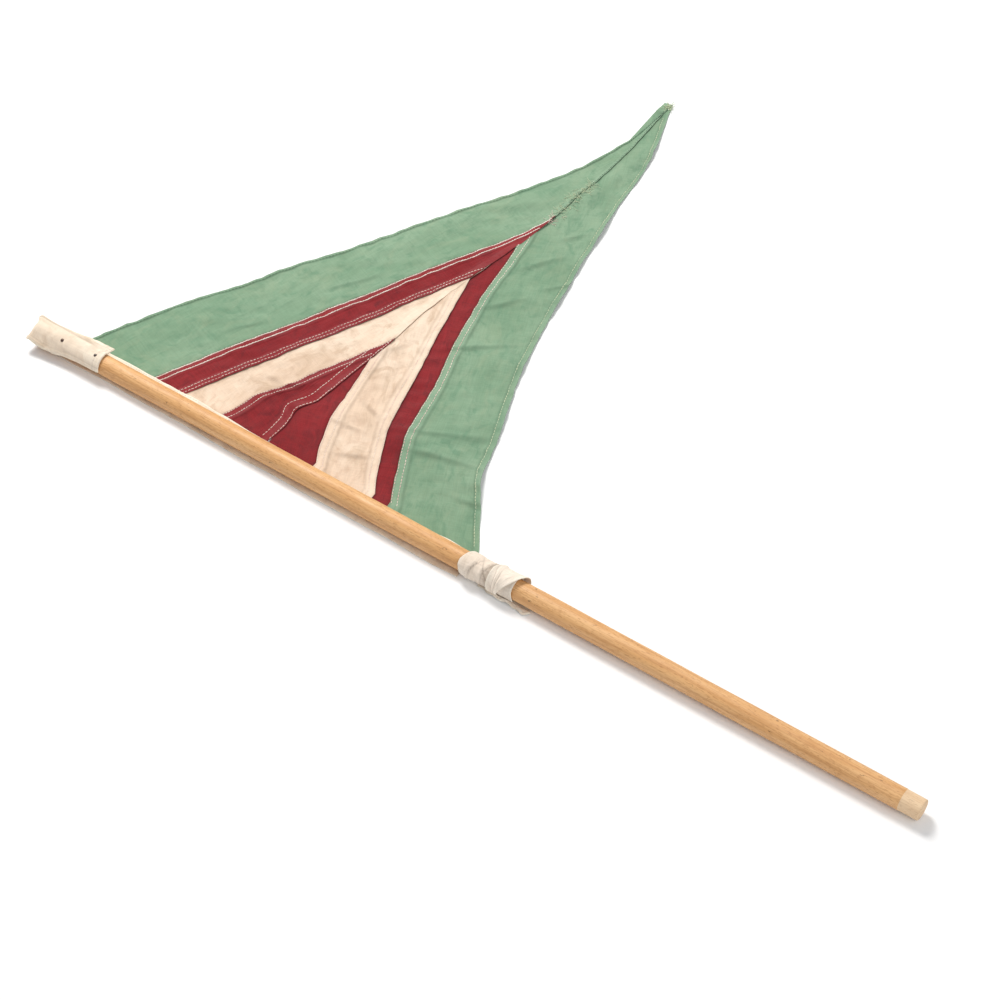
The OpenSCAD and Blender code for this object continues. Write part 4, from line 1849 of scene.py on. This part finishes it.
    def build_tail(self) -> Piece:
        """Builds the loose tail: a crumpled ragged strip that lies beside the staff.

        Returns:
            The tail.
        """
        along = np.linspace(0, 1, 80)
        across = np.concatenate([[0, 0.03, 0.08], np.linspace(0.15, 0.85, 15), [0.92, 0.97, 1]])
        length = 53
        x0 = -420 + length * along
        near = -9.0 - 2.8 * smooth(0.0, 0.3, along) - 1.2 * hump(along, 0.8, 0.2)
        near = near + 2.4 * smooth(0.9, 1.0, along)
        near = near + 0.5 * Wander(93, 0.22).at(along, 0 * along)
        far = -3.5 - 2.0 * along
        y = far[:, None] + (near - far)[:, None] * across[None, :]
        x = x0[:, None] + (2.5 * (across - 0.5))[None, :] * smooth(0.8, 1.0, along)[:, None] + 0 * y
        folds = ((2.4, 0.3, 0.1, 0.75), (2.8, 0.58, 0.1, 0.7), (2.0, 0.86, 0.08, 0.6))
        fold = sum(high * hump(along[:, None], start, wide) * hump(across[None, :], side, 0.35)
                   for high, start, wide, side in folds)
        crumple = 0.5 * np.abs(Wander(94, 0.3).at(along[:, None], across[None, :]))
        low = self.ground + 0.08 + (fold + crumple) * smooth(-6.5, -9.0, y)
        edge = np.minimum(across, 1 - across)[None, :] * np.abs(near - far)[:, None]
        edge = np.minimum(edge, (1 - along)[:, None] * length)
        rounding = rounded(edge, 0.6)
        middle = low + 0.42
        upper = np.stack([x, y, middle + 0.4 * rounding], -1)
        lower = np.stack([x, y, middle - 0.4 * rounding], -1)
        strip = np.stack([x, y], -1)
        piece = shell("tie_loose_tail", upper, lower, strip, wear=np.exp(-edge / 1.5), grime=0 * x)
        piece.data.materials.append(self.finishes.of(TIE_CANVAS))
        fit_to_staff(piece, "tie_tail")
        flat_area(strip)
        return piece

    def build(self) -> list[Piece]:
        """Builds both turns and the tail."""
        return [self.build_inner(), self.build_outer(), self.build_tail()]


# ---------- Studio ----------


@dataclass
class Studio:
    """Pale floor, soft lights and the camera."""

    finishes: Finishes
    azimuth: float = 34.68
    elevation: float = 50.0
    target: tuple[float, float, float] = (-0.4532, 0.0726, 0.0)
    distance: float = 2.1624
    lens: float = 90.0
    floor_level: float = -0.0106
    floor_reach: float = 6.0
    floor_white: Colour = (0.97, 0.97, 0.975)
    key_power: float = 62.0
    fill_power: float = 24.0
    surround: float = 0.36

    def build_floor(self) -> None:
        """Lays the floor, which isn't part of the object."""
        mesh = bpy.data.meshes.new("floor")
        reach = self.floor_reach
        corners = [(-reach, -reach), (reach, -reach), (reach, reach), (-reach, reach)]
        mesh.from_pydata([(x, y, self.floor_level) for x, y in corners], [], [(0, 1, 2, 3)])
        mesh.materials.append(self.finishes.of(PalePaper("floor_paper", self.floor_white)))
        new_object("floor", mesh)

    def add_light(self, name: str, place: Vector, size: float, power: float, colour: Colour) -> None:
        """Adds a soft square light aimed at the target.

        Args:
            name: Name of the light.
            place: Where it stands.
            size: Its side.
            power: Its power in watts.
            colour: Its colour.
        """
        data = bpy.data.lights.new(name, "AREA")
        data.shape = "SQUARE"
        data.size, data.energy, data.color = size, power, colour
        lamp = bpy.data.objects.new(name, data)
        lamp.location = place
        lamp.rotation_mode = "QUATERNION"
        lamp.rotation_quaternion = (Vector(self.target) - place).to_track_quat("-Z", "Y")
        bpy.context.scene.collection.objects.link(lamp)

    def build_lights(self) -> None:
        """Hangs the lights and sets the even white surround."""
        away = Vector((-math.sin(math.radians(self.azimuth)), math.cos(math.radians(self.azimuth)), 0))
        right = Vector((away.y, -away.x, 0))
        middle = Vector(self.target)
        key = middle + away * 1.5 - right * 0.6 + Vector((0, 0, 2.05))
        fill = middle - away * 1.6 + right * 1.0 + Vector((0, 0, 2.0))
        self.add_light("key", key, 0.9, self.key_power, (1.0, 0.985, 0.96))
        self.add_light("fill", fill, 1.8, self.fill_power, (0.97, 0.985, 1.0))
        world = bpy.data.worlds.new("surround")
        world.use_nodes = True
        background = world.node_tree.nodes["Background"]
        background.inputs["Color"].default_value = (1.0, 1.0, 1.0, 1.0)
        background.inputs["Strength"].default_value = self.surround
        bpy.context.scene.world = world

    def build_camera(self) -> None:
        """Sets up the camera, level, with no shift."""
        data = bpy.data.cameras.new("camera")
        data.lens, data.sensor_width = self.lens, 36.0
        data.clip_start, data.clip_end = 0.05, 40.0
        camera = bpy.data.objects.new("camera", data)
        turn, rise = math.radians(self.azimuth), math.radians(self.elevation)
        back = Vector((math.sin(turn) * math.cos(rise), -math.cos(turn) * math.cos(rise), math.sin(rise)))
        camera.location = Vector(self.target) + back * self.distance
        camera.rotation_mode = "QUATERNION"
        camera.rotation_quaternion = (-back).to_track_quat("-Z", "Y")
        bpy.context.scene.collection.objects.link(camera)
        bpy.context.scene.camera = camera

    def build(self) -> None:
        """Builds the studio and shows colours as they are."""
        self.build_floor()
        self.build_lights()
        self.build_camera()
        bpy.context.scene.view_settings.view_transform = "Standard"


def main() -> None:
    """Builds every part in order."""
    logging.basicConfig(level=logging.INFO, format="%(name)s: %(message)s")
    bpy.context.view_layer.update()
    finishes = Finishes()
    stitches = StitchTree()
    Studio(finishes).build()
    parts = (Staff(finishes), Heading(finishes, stitches), Tacks(finishes), Tie(finishes),
             Pennant(finishes, stitches, FrayTree()))
    for part in parts:
        for piece in part.build():
            LOG.info("%s: %d faces", piece.name, len(piece.data.polygons))
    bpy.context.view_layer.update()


if __name__ == "__main__":
    main()
